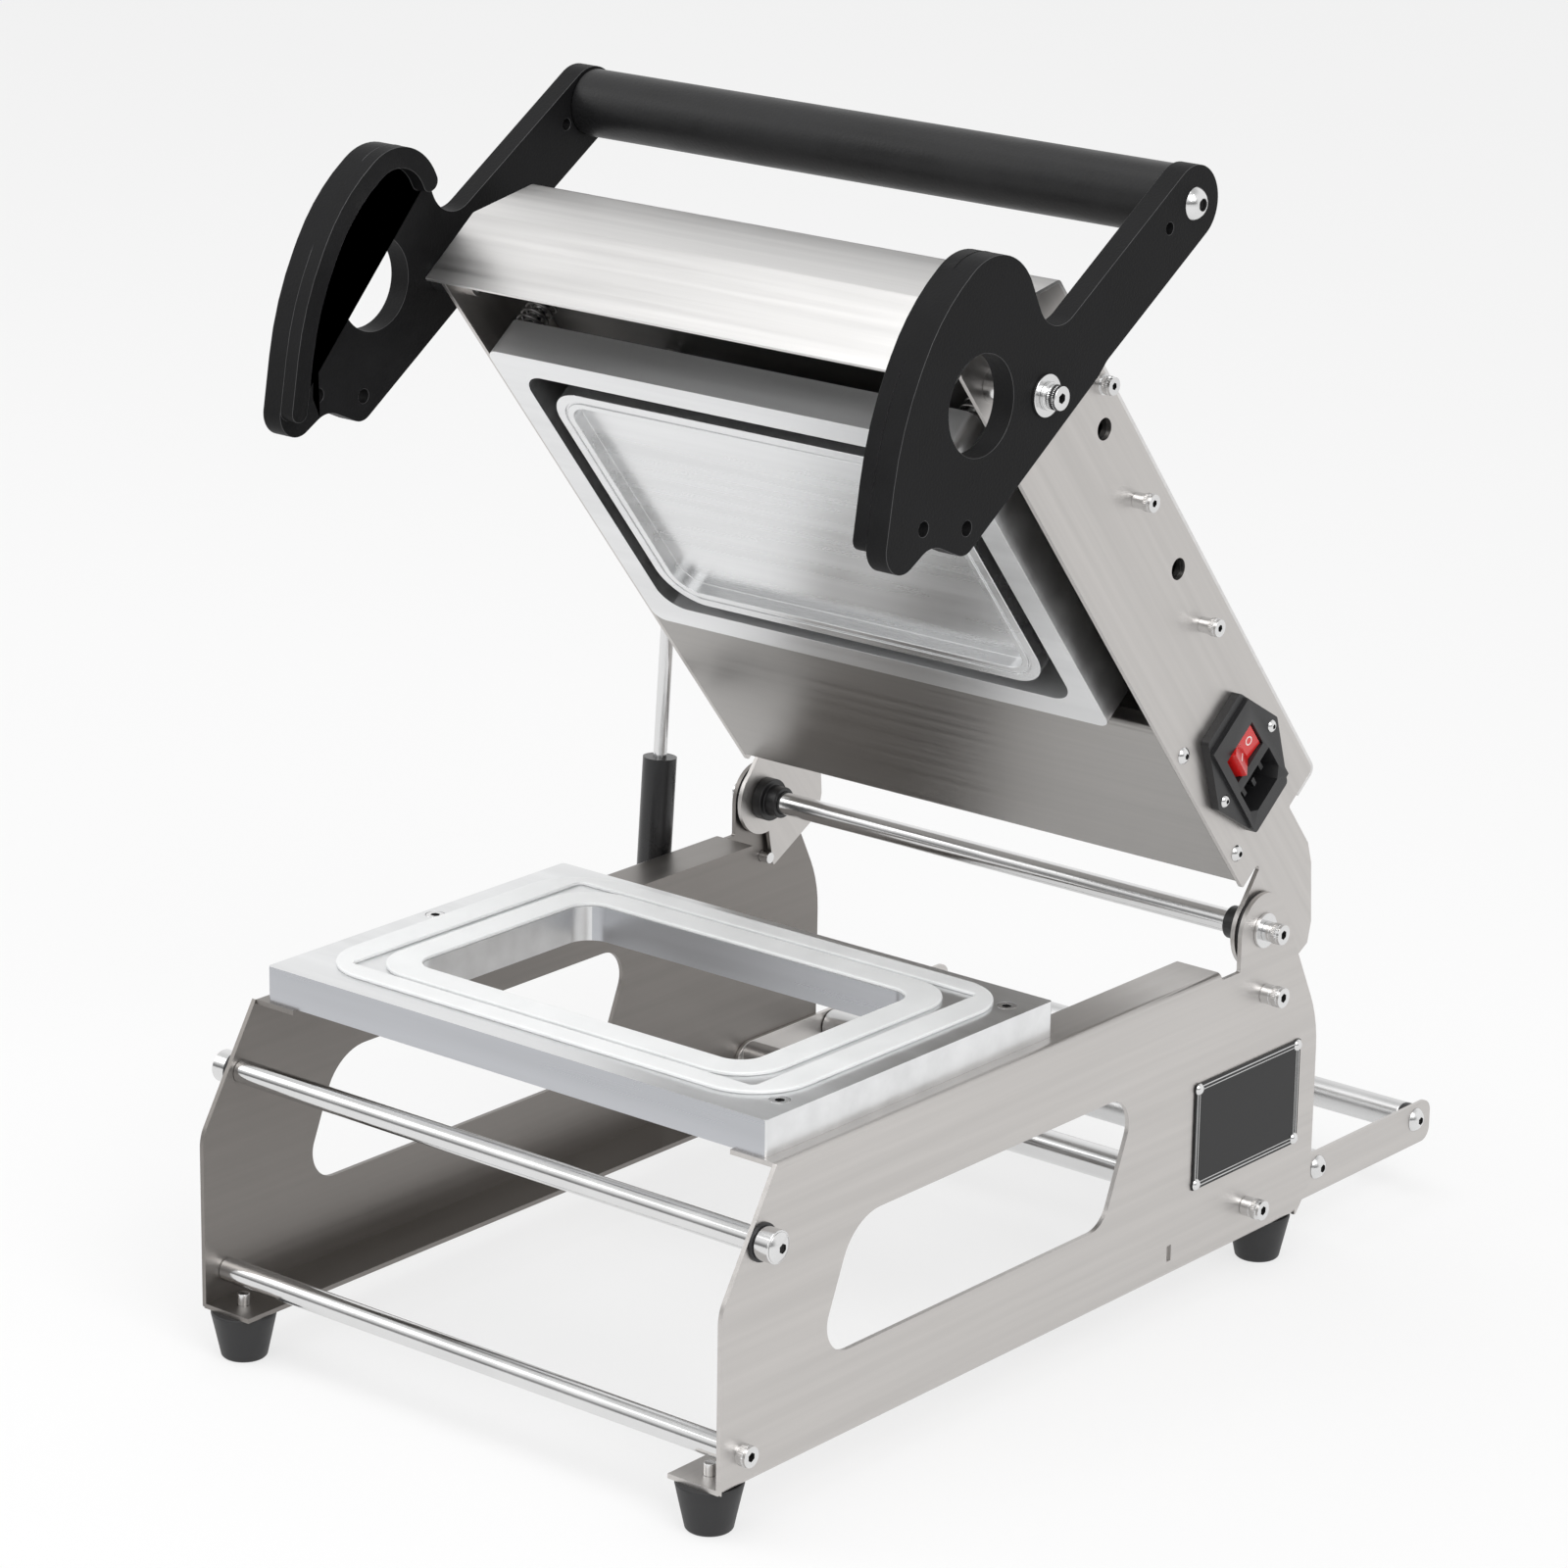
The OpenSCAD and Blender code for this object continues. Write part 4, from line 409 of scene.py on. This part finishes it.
def dress(node, material, width, edge=None):
    """A solid's stand-in with rounded edges of the given width in mm, which may get another material, such as the
    levers' painted highlight.
    """
    piece = clean_copy(node, node + "_skin")
    piece.data.materials.append(material)
    if edge is not None:
        piece.data.materials.append(edge)
    smooth_by_angle(piece.data, EDGE_DEGREES)
    bevel = piece.modifiers.new("edge", "BEVEL")
    bevel.width = width * MM
    bevel.segments = EDGE_SEGMENTS
    bevel.limit_method = "ANGLE"
    bevel.angle_limit = math.radians(EDGE_DEGREES)
    bevel.use_clamp_overlap = True
    bevel.harden_normals = True
    if edge is not None:
        bevel.material = 1
    apply_modifiers(piece)
    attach(piece, BODY_OF[node])
    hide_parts(node)
    return piece


def paint(node, material):
    """A finish for a solid that stays as it is."""
    solid = frame["nodes"][node]
    for slot in solid.material_slots:
        slot.link = "OBJECT"
        slot.material = material


DRESSED = [
    # node, finish, width of its rounded edges in mm
    ("right_side_plate", steel_side, 0.3),
    # The left plate's steel is darkened as painted shade.
    ("left_side_plate", steel_painted_shade, 0.3),
    ("right_head_plate", steel_head, 0.3),
    ("left_head_plate", steel_head, 0.3),
    ("top_cover", steel_cover, 0.35),
    ("bottom_cover", steel_under, 0.3),
    # The carrier plate's dark steel is painted shade.
    ("carrier_plate", steel_inner_painted_shade, 0.25),
    ("right_film_arm", steel_arm, 0.3),
    ("left_film_arm", steel_arm, 0.3),
    ("lower_mould", mould_metal, 0.5),
    ("mould_gaskets", seal_rubber, 0.55),
    ("pressing_frame", press_metal, 0.6),
    ("sealing_plate", seal_metal, 0.35),
    ("upper_front_rod", bar_metal, 0.4),
    ("lower_front_rod", bar_metal, 0.4),
    ("hinge_shaft", bar_metal, 0.4),
    ("rear_tie_rod", bar_metal, 0.4),
    ("front_film_roller", satin_bar, 0.6),
    ("rear_film_roller", satin_bar, 0.6),
    ("film_roller_shafts", bar_metal, 0.3),
    ("film_roller_screws", screw_metal, 0.3),
    ("rear_roller_bushes", black_plastic, 0.3),
    ("right_latch_roller", screw_metal, 0.5),
    ("left_latch_roller", screw_metal, 0.5),
    ("latch_washers", black_plastic, 0.3),
    ("latch_screws", screw_metal, 0.3),
    ("frame_bolts", screw_metal, 0.4),
    ("bolt_spacers", screw_metal, 0.3),
    ("hinge_washers", screw_metal, 0.3),
    ("hinge_spacers", black_plastic, 0.3),
    ("hinge_bushes", black_plastic, 0.5),
    ("data_plate", label_coat, 0.15),
    ("data_plate_rivets", screw_metal, 0.15),
    ("foot_screws", screw_metal, 0.3),
    ("feet", foot_rubber, 0.9),
    ("mould_screws", screw_metal, 0.25),
    ("strut_cylinder", strut_coat, 0.8),
    ("strut_rod", bar_metal, 0.4),
    ("strut_lower_stud", screw_metal, 0.3),
    ("strut_upper_stud", screw_metal, 0.3),
    ("cover_screws", screw_metal, 0.2),
    ("cover_bolts", screw_metal, 0.35),
    ("carrier_bolts", screw_metal, 0.35),
    ("inlet_screws", screw_metal, 0.15),
    ("power_inlet", black_plastic, 0.35),
    ("rocker_switch", switch_red, 0.5),
    ("frame_guide_bolts", screw_metal, 0.3),
    ("plate_guide_bolts", screw_metal, 0.3),
    ("heater", heater_skin, 0.4),
    ("terminal_block", pale_plastic, 0.4),
    ("handle_bar", grip_coat, 1.2),
    ("handle_screws", screw_metal, 0.35),
    ("lever_pivot_bolts", screw_metal, 0.4),
    ("lever_washers", screw_metal, 0.3),
    ("lever_spacers", screw_metal, 0.3),
]
# Width of the levers' rounded edges in mm, and the dressed pieces by node.
LEVER_EDGE = 0.7
SKINS = {}
# The least share of a front face's normal that points to the front.
FRONT_SHARE = 0.8


def shade_faces(piece, material, chosen):
    """Another material on the faces that the given test picks: a finish or painted shade."""
    piece.data.materials.append(material)
    index = len(piece.data.materials) - 1
    for face in piece.data.polygons:
        if chosen(face):
            face.material_index = index


def dress_solids():
    """Skins for all solids but springs and leads. The lower mould's front faces are painted darker as shade, the
    pressing frame's front faces get a rougher finish.
    """
    for node, material, width in DRESSED:
        SKINS[node] = dress(node, material, width)
    for node in ("right_lever", "left_lever"):
        SKINS[node] = dress(node, lever_coat, LEVER_EDGE, edge=lever_rim_painted_highlight)
    paint("inlet_leads", lead_skin)
    for node, material, back in (
        # The lower mould's front faces are painted darker as shade.
        ("lower_mould", mould_front_painted_shade, Vector((0, 1, 0))),
        ("pressing_frame", press_side, HEAD_BACK),
    ):

        def in_front(face, back=back):
            return face.normal.dot(-back) > FRONT_SHARE

        shade_faces(SKINS[node], material, in_front)


# Small shapes built here

TRIM_DEGREES = 40
HELIX_STEPS = 24
WIRE_SIDES = 10
SPRING_WIRE = 1.4 * MM
SPRING_TURNS = {"frame_springs": 7, "plate_springs": 6}


def new_piece(name, mesh_maker, material, body):
    """A piece made by a function that fills a bmesh, in the frame of the whole part."""
    made = bmesh.new()
    mesh_maker(made)
    bmesh.ops.recalc_face_normals(made, faces=made.faces)
    mesh = bpy.data.meshes.new(name)
    made.to_mesh(mesh)
    made.free()
    mesh.materials.append(material)
    smooth_by_angle(mesh, TRIM_DEGREES)
    piece = bpy.data.objects.new(name, mesh)
    bpy.context.scene.collection.objects.link(piece)
    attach(piece, body)
    return piece


def bridge_rings(made, rings, closed=False):
    """Quads between rings of vertices that have the same count."""
    count = len(rings[0])
    pairs = list(zip(rings, rings[1:]))
    if closed:
        pairs.append((rings[-1], rings[0]))
    for low, high in pairs:
        for i in range(count):
            k = (i + 1) % count
            made.faces.new((low[i], low[k], high[k], high[i]))


def add_spring(made, foot, radius, length, turns):
    """A round wire along a helix that stands on foot, with its axis along the head's."""
    side = HEAD_UP.cross(RIGHT)
    rings = []
    for step in range(turns * HELIX_STEPS + 1):
        turn = step / HELIX_STEPS
        angle = math.tau * turn
        out = math.cos(angle) * RIGHT + math.sin(angle) * side
        along = side * math.cos(angle) - RIGHT * math.sin(angle)
        lift = out.cross(along)
        centre = foot + radius * out + HEAD_UP * (length * turn / turns)
        ring = []
        for k in range(WIRE_SIDES):
            angle = math.tau * k / WIRE_SIDES
            reach = math.cos(angle) * out + math.sin(angle) * lift
            ring.append(made.verts.new(centre + SPRING_WIRE / 2 * reach))
        rings.append(ring)
    bridge_rings(made, rings)
    made.faces.new(rings[0])
    made.faces.new(list(reversed(rings[-1])))


def solid_parts(node):
    """The separate solids of a node, each as its lists of points."""
    made = bmesh.new()
    made.from_mesh(frame["nodes"][node].data)
    bmesh.ops.remove_doubles(made, verts=made.verts, dist=WELD)
    left = set(made.verts)
    parts = []
    while left:
        first = left.pop()
        group, open_list = [first.co.copy()], [first]
        while open_list:
            for edge in open_list.pop().link_edges:
                for vert in edge.verts:
                    if vert in left:
                        left.remove(vert)
                        group.append(vert.co.copy())
                        open_list.append(vert)
        parts.append(group)
    made.free()
    return parts


def head_place(point):
    """A point's place in the head: across, back and up from the hinge."""
    offset = point - HINGE
    return offset.x, offset.dot(HEAD_BACK), offset.dot(HEAD_UP)


def from_head(x, back, up):
    """The point at this place in the head."""
    return HINGE + RIGHT * x + HEAD_BACK * back + HEAD_UP * up


def middle(values):
    """Halfway between the lowest and the highest value."""
    values = list(values)
    return (max(values) + min(values)) / 2


def spring_set(node, body):
    """Round wire springs in the place of the solid ones."""
    spots = [[head_place(p) for p in part] for part in solid_parts(node)]
    low = min(s[2] for spot in spots for s in spot)
    high = max(s[2] for spot in spots for s in spot)
    wide = max(s[0] for s in spots[0]) - min(s[0] for s in spots[0])
    radius = (wide - SPRING_WIRE) / 2
    length = high - low - SPRING_WIRE

    def build(made):
        for spot in spots:
            x, back = middle(s[0] for s in spot), middle(s[1] for s in spot)
            foot = from_head(x, back, low + SPRING_WIRE / 2)
            add_spring(made, foot, radius, length, SPRING_TURNS[node])

    piece = new_piece(node + "_wire", build, spring_metal, body)
    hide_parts(node)
    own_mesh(piece)


KNURL_TEETH = 36
KNURL_DEPTH = 0.16 * MM
KNURL_SLOPE = 0.25 * MM
# The ends of the band lie this far under the head's surface.
KNURL_SINK = 0.05 * MM
TOOTH = (0.0, 1.0, 1.0, 0.0)


def knurl(made, end, out, radius, length):
    """A knurled band round a screw head, from end back against out."""
    across = Vector((0, 1, 0))
    side = out.cross(across)
    steps = KNURL_TEETH * len(TOOTH)
    rings = []
    for back, toothed in (
        (0, False),
        (KNURL_SLOPE, True),
        (length - KNURL_SLOPE, True),
        (length, False),
    ):
        ring = []
        for i in range(steps):
            angle = math.tau * i / steps
            reach = radius + (KNURL_DEPTH * TOOTH[i % len(TOOTH)] if toothed else -KNURL_SINK)
            around = math.cos(angle) * across + math.sin(angle) * side
            ring.append(made.verts.new(end - out * back + reach * around))
        rings.append(ring)
    bridge_rings(made, rings)


SOCKETS = {
    # node: width of the key socket and its depth in mm
    "frame_bolts": (4.0, 2.5),
    "carrier_bolts": (3.0, 2.5),
    "cover_bolts": (3.0, 2.5),
    "lever_pivot_bolts": (4.0, 3.0),
    "handle_screws": (5.0, 2.4),
    "latch_screws": (4.0, 1.4),
    "film_roller_screws": (3.5, 1.8),
    "cover_screws": (2.5, 1.3),
    "inlet_screws": (2.0, 0.9),
    "mould_screws": (4.0, 1.8),
}
# How far behind a head's end a point still counts as its end, how far in the socket's painted shade starts, and
# how far it goes on under the socket's floor.
END_DEPTH = 0.2 * MM
SOCKET_LIP = 0.12 * MM
SOCKET_FLOOR = 0.3 * MM


def outward(part):
    """The direction away from the machine on the side where a solid lies."""
    return RIGHT if sum(p.x for p in part) > 0 else -RIGHT


def part_end(part, out):
    """How far a solid reaches along out, the middle of the points that lie there, and these."""
    tip = max(p.dot(out) for p in part)
    rim = [p for p in part if p.dot(out) > tip - END_DEPTH]
    return tip, Vector([middle(p[i] for p in rim) for i in range(3)]), rim


def shade_sockets():
    """The walls and floors of the key sockets are painted dark as shade."""
    for node, (key, depth) in SOCKETS.items():
        ends = []
        for part in solid_parts(node):
            out = Vector((0, 0, 1)) if node == "mould_screws" else outward(part)
            tip, centre, _ = part_end(part, out)
            ends.append((tip, centre, out))

        def inside(face, ends=ends, reach=key / 2 * MM, lowest=-depth * MM - SOCKET_FLOOR):
            for tip, centre, out in ends:
                level = face.center.dot(out) - tip
                offset = face.center - centre
                away = (offset - out * offset.dot(out)).length
                if lowest < level < -SOCKET_LIP and away < reach:
                    return True
            return False

        shade_faces(SKINS[node], socket_painted_shade, inside)


BOLT_HEADS = {
    # node: head diameter, length of its knurled band, distance of the band from the end, in mm
    "frame_bolts": (8.5, 3.2, 1.1),
    "carrier_bolts": (7.2, 2.7, 1.1),
    "cover_bolts": (7.2, 2.7, 1.1),
    "lever_pivot_bolts": (9.4, 2.8, 1.2),
}
# The least share of the head's diameter that a head's end has.
FULL_WIDTH = 0.9


def bolt_trim():
    """Knurled bands on the bolts whose ends are as wide as a head."""
    for node, (width, band, start) in BOLT_HEADS.items():
        ends = []
        for part in solid_parts(node):
            out = outward(part)
            tip, centre, rim = part_end(part, out)
            if max(p.y for p in rim) - min(p.y for p in rim) >= FULL_WIDTH * width * MM:
                ends.append((Vector((tip * out.x, centre.y, centre.z)), out))

        def build(made, ends=ends, width=width, band=band, start=start):
            for end, out in ends:
                knurl(made, end - out * start * MM, out, width / 2 * MM, band * MM)

        new_piece(node + "_knurl", build, screw_metal, BODY_OF[node])


BORDER_LINES = (
    # name, distance from the plate's edge, width of the line, in mm
    ("outer", 1.0, 0.55),
    ("inner", 2.6, 0.4),
)
BORDER_LIFT = 0.1
BORDER_SINK = 0.02


def flat_frame(made, corner, width, height, line, lift):
    """A raised rectangular line on a plate that faces right, from its front low corner."""
    rings = []
    for inset, level in ((0, 0), (0, lift), (line, lift), (line, 0)):
        ring = []
        for a, b in ((0, 0), (1, 0), (1, 1), (0, 1)):
            y = inset + a * (width - 2 * inset)
            z = inset + b * (height - 2 * inset)
            ring.append(made.verts.new(corner + Vector((level, y, z))))
        rings.append(ring)
    bridge_rings(made, rings)


def data_plate_lines():
    """Two plain border lines on the bare data plate."""
    low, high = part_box("data_plate")
    for name, inset, line in BORDER_LINES:
        edge = inset * MM
        corner = Vector((high.x - BORDER_SINK * MM, low.y + edge, low.z + edge))
        width, height = high.y - low.y - 2 * edge, high.z - low.z - 2 * edge

        def build(made, corner=corner, width=width, height=height, line=line):
            flat_frame(made, corner, width, height, line * MM, BORDER_LIFT * MM)

        new_piece("data_plate_line_" + name, build, label_line, "base")


# The rocker as the solid has it, in mm: how far out from its pivot the middle of its front lies,
# how far out and along each face goes from there, and how far along the face its mark sits.
ROCKER_TILT = math.radians(-11)
ROCKER_FRONT = 7.22
ROCKER_FACE = (2.48, 8.56)
MARK_PLACE = 4.4
# The marks: the radii of the O, half the length and half the width of the I, and how far their
# two sides lie over the face.
MARK_RADII = (2.0, 1.45)
MARK_BAR = (2.0, 0.3)
MARK_LEVELS = (-0.1, 0.06)
MARK_STEPS = 32


def rocker_marks():
    """A plain O and a plain I on the two faces of the rocker."""
    pivot = Vector(JOINTS["switch_rock"]["pos_m"])

    def spot(side, u, v, w):
        """A point u along the face from the mark's middle, v across it and w over it, in mm."""
        along = Vector((ROCKER_FACE[0], ROCKER_FACE[1] * side)).normalized()
        over = Vector((abs(along.y), -side * along.x))
        flat = Vector((ROCKER_FRONT, 0)) + along * (MARK_PLACE + u) + over * w
        x = flat.x * math.cos(ROCKER_TILT) + flat.y * math.sin(ROCKER_TILT)
        z = -flat.x * math.sin(ROCKER_TILT) + flat.y * math.cos(ROCKER_TILT)
        return pivot + (RIGHT * x + HEAD_BACK * v + HEAD_UP * z) * MM

    def build(made):
        sunk, raised = MARK_LEVELS
        outer, inner = MARK_RADII
        rings = []
        for radius, w in ((outer, sunk), (outer, raised), (inner, raised), (inner, sunk)):
            angles = [math.tau * i / MARK_STEPS for i in range(MARK_STEPS)]
            points = [spot(1, radius * math.cos(a), radius * math.sin(a), w) for a in angles]
            rings.append([made.verts.new(point) for point in points])
        bridge_rings(made, rings, closed=True)
        a, b = MARK_BAR
        corners = ((-a, -b), (a, -b), (a, b), (-a, b))
        low, high = ([made.verts.new(spot(-1, u, v, w)) for u, v in corners] for w in MARK_LEVELS)
        bridge_rings(made, [low, high])
        made.faces.new(low)
        made.faces.new(high)

    new_piece("rocker_marks", build, switch_mark, "switch")


# Studio

FLOOR_REACH = 30
# The share of plain white in the floor for the rays that show it.
FLOOR_GLOW = 0.7
WORLD_STRENGTH = 0.62
# How light the mirrored world is at its darkest low in the front, and overhead.
FRONT_SHADE = 0.22
OVERHEAD_SHADE = 0.62
LAMP_AIM = Vector((0, 0, 0.2))
LAMPS = (
    # name, place, width, height, power
    ("key", (1.9, -0.9, 2.0), 1.4, 1.4, 26),
    ("top", (-0.2, -0.5, 2.6), 2.2, 1.4, 20),
    ("left", (-2.2, -1.2, 1.3), 1.2, 1.8, 12),
    ("front", (0.2, -2.8, 1.0), 2.0, 1.2, 8),
)


def make_floor():
    """Pale paper that takes the shadow and is shown nearly white."""
    mesh = bpy.data.meshes.new("floor")
    made = bmesh.new()
    bmesh.ops.create_grid(made, x_segments=4, y_segments=4, size=FLOOR_REACH)
    made.to_mesh(mesh)
    made.free()
    floor = bpy.data.objects.new("floor", mesh)
    bpy.context.scene.collection.objects.link(floor)
    surface = Surface("floor_paper", (0.86, 0.86, 0.86), 0.9)
    surface.set("Specular IOR Level", 0.1)
    clouds = surface.noise(3.0)
    surface.tint(clouds, spread=0.004)
    glow = surface.node("ShaderNodeEmission", Color=(1, 1, 1, 1), Strength=1.0)
    share = maths(surface.tree, "MULTIPLY", seen_directly(surface.tree), FLOOR_GLOW)
    output = surface.tree.nodes["Material Output"]
    mix_shaders(surface.tree, share, surface.shader.outputs[0], glow.outputs[0], output)
    mesh.materials.append(surface.material)


def make_world():
    """Even pale light. What the metal mirrors is white, darker low in the front and overhead."""
    world = bpy.data.worlds.new("studio")
    bpy.context.scene.world = world
    world.use_nodes = True
    tree = world.node_tree
    tree.nodes.clear()
    output = tree.nodes.new("ShaderNodeOutputWorld")
    plain = tree.nodes.new("ShaderNodeBackground")
    plain.inputs["Color"].default_value = (1, 1, 1, 1)
    plain.inputs["Strength"].default_value = WORLD_STRENGTH
    mirrored = tree.nodes.new("ShaderNodeBackground")
    mirrored.inputs["Strength"].default_value = 1.0
    place = tree.nodes.new("ShaderNodeTexCoord")
    axes = tree.nodes.new("ShaderNodeSeparateXYZ")
    tree.links.new(place.outputs["Generated"], axes.inputs[0])

    def fade(axis, start, end, low, high):
        made = map_range(tree, axes.outputs[axis], start, end, low, high)
        made.interpolation_type = "SMOOTHSTEP"
        return made.outputs["Result"]

    from_floor = fade("Z", start=0.08, end=0.5, low=FRONT_SHADE, high=1.0)
    from_front = fade("Y", start=-0.3, end=0.25, low=FRONT_SHADE, high=1.0)
    overhead = fade("Z", start=0.6, end=0.92, low=1.0, high=OVERHEAD_SHADE)
    lighter = maths(tree, "MAXIMUM", from_floor, from_front)
    tree.links.new(maths(tree, "MULTIPLY", lighter, overhead), mirrored.inputs["Color"])
    mix_shaders(tree, seen_directly(tree), plain.outputs[0], mirrored.outputs[0], output)


def make_lights():
    """Area lamps that face the machine."""
    for name, place, width, height, power in LAMPS:
        data = bpy.data.lights.new(name, "AREA")
        data.shape = "RECTANGLE"
        data.size = width
        data.size_y = height
        data.energy = power
        lamp = bpy.data.objects.new(name, data)
        bpy.context.scene.collection.objects.link(lamp)
        lamp.location = place
        lamp.rotation_euler = (LAMP_AIM - Vector(place)).to_track_quat("-Z", "Y").to_euler()


bpy.context.scene.view_settings.view_transform = "Standard"
make_camera()
dress_solids()
spring_set("frame_springs", "head")
spring_set("plate_springs", "head")
bolt_trim()
shade_sockets()
data_plate_lines()
rocker_marks()
make_floor()
make_world()
make_lights()
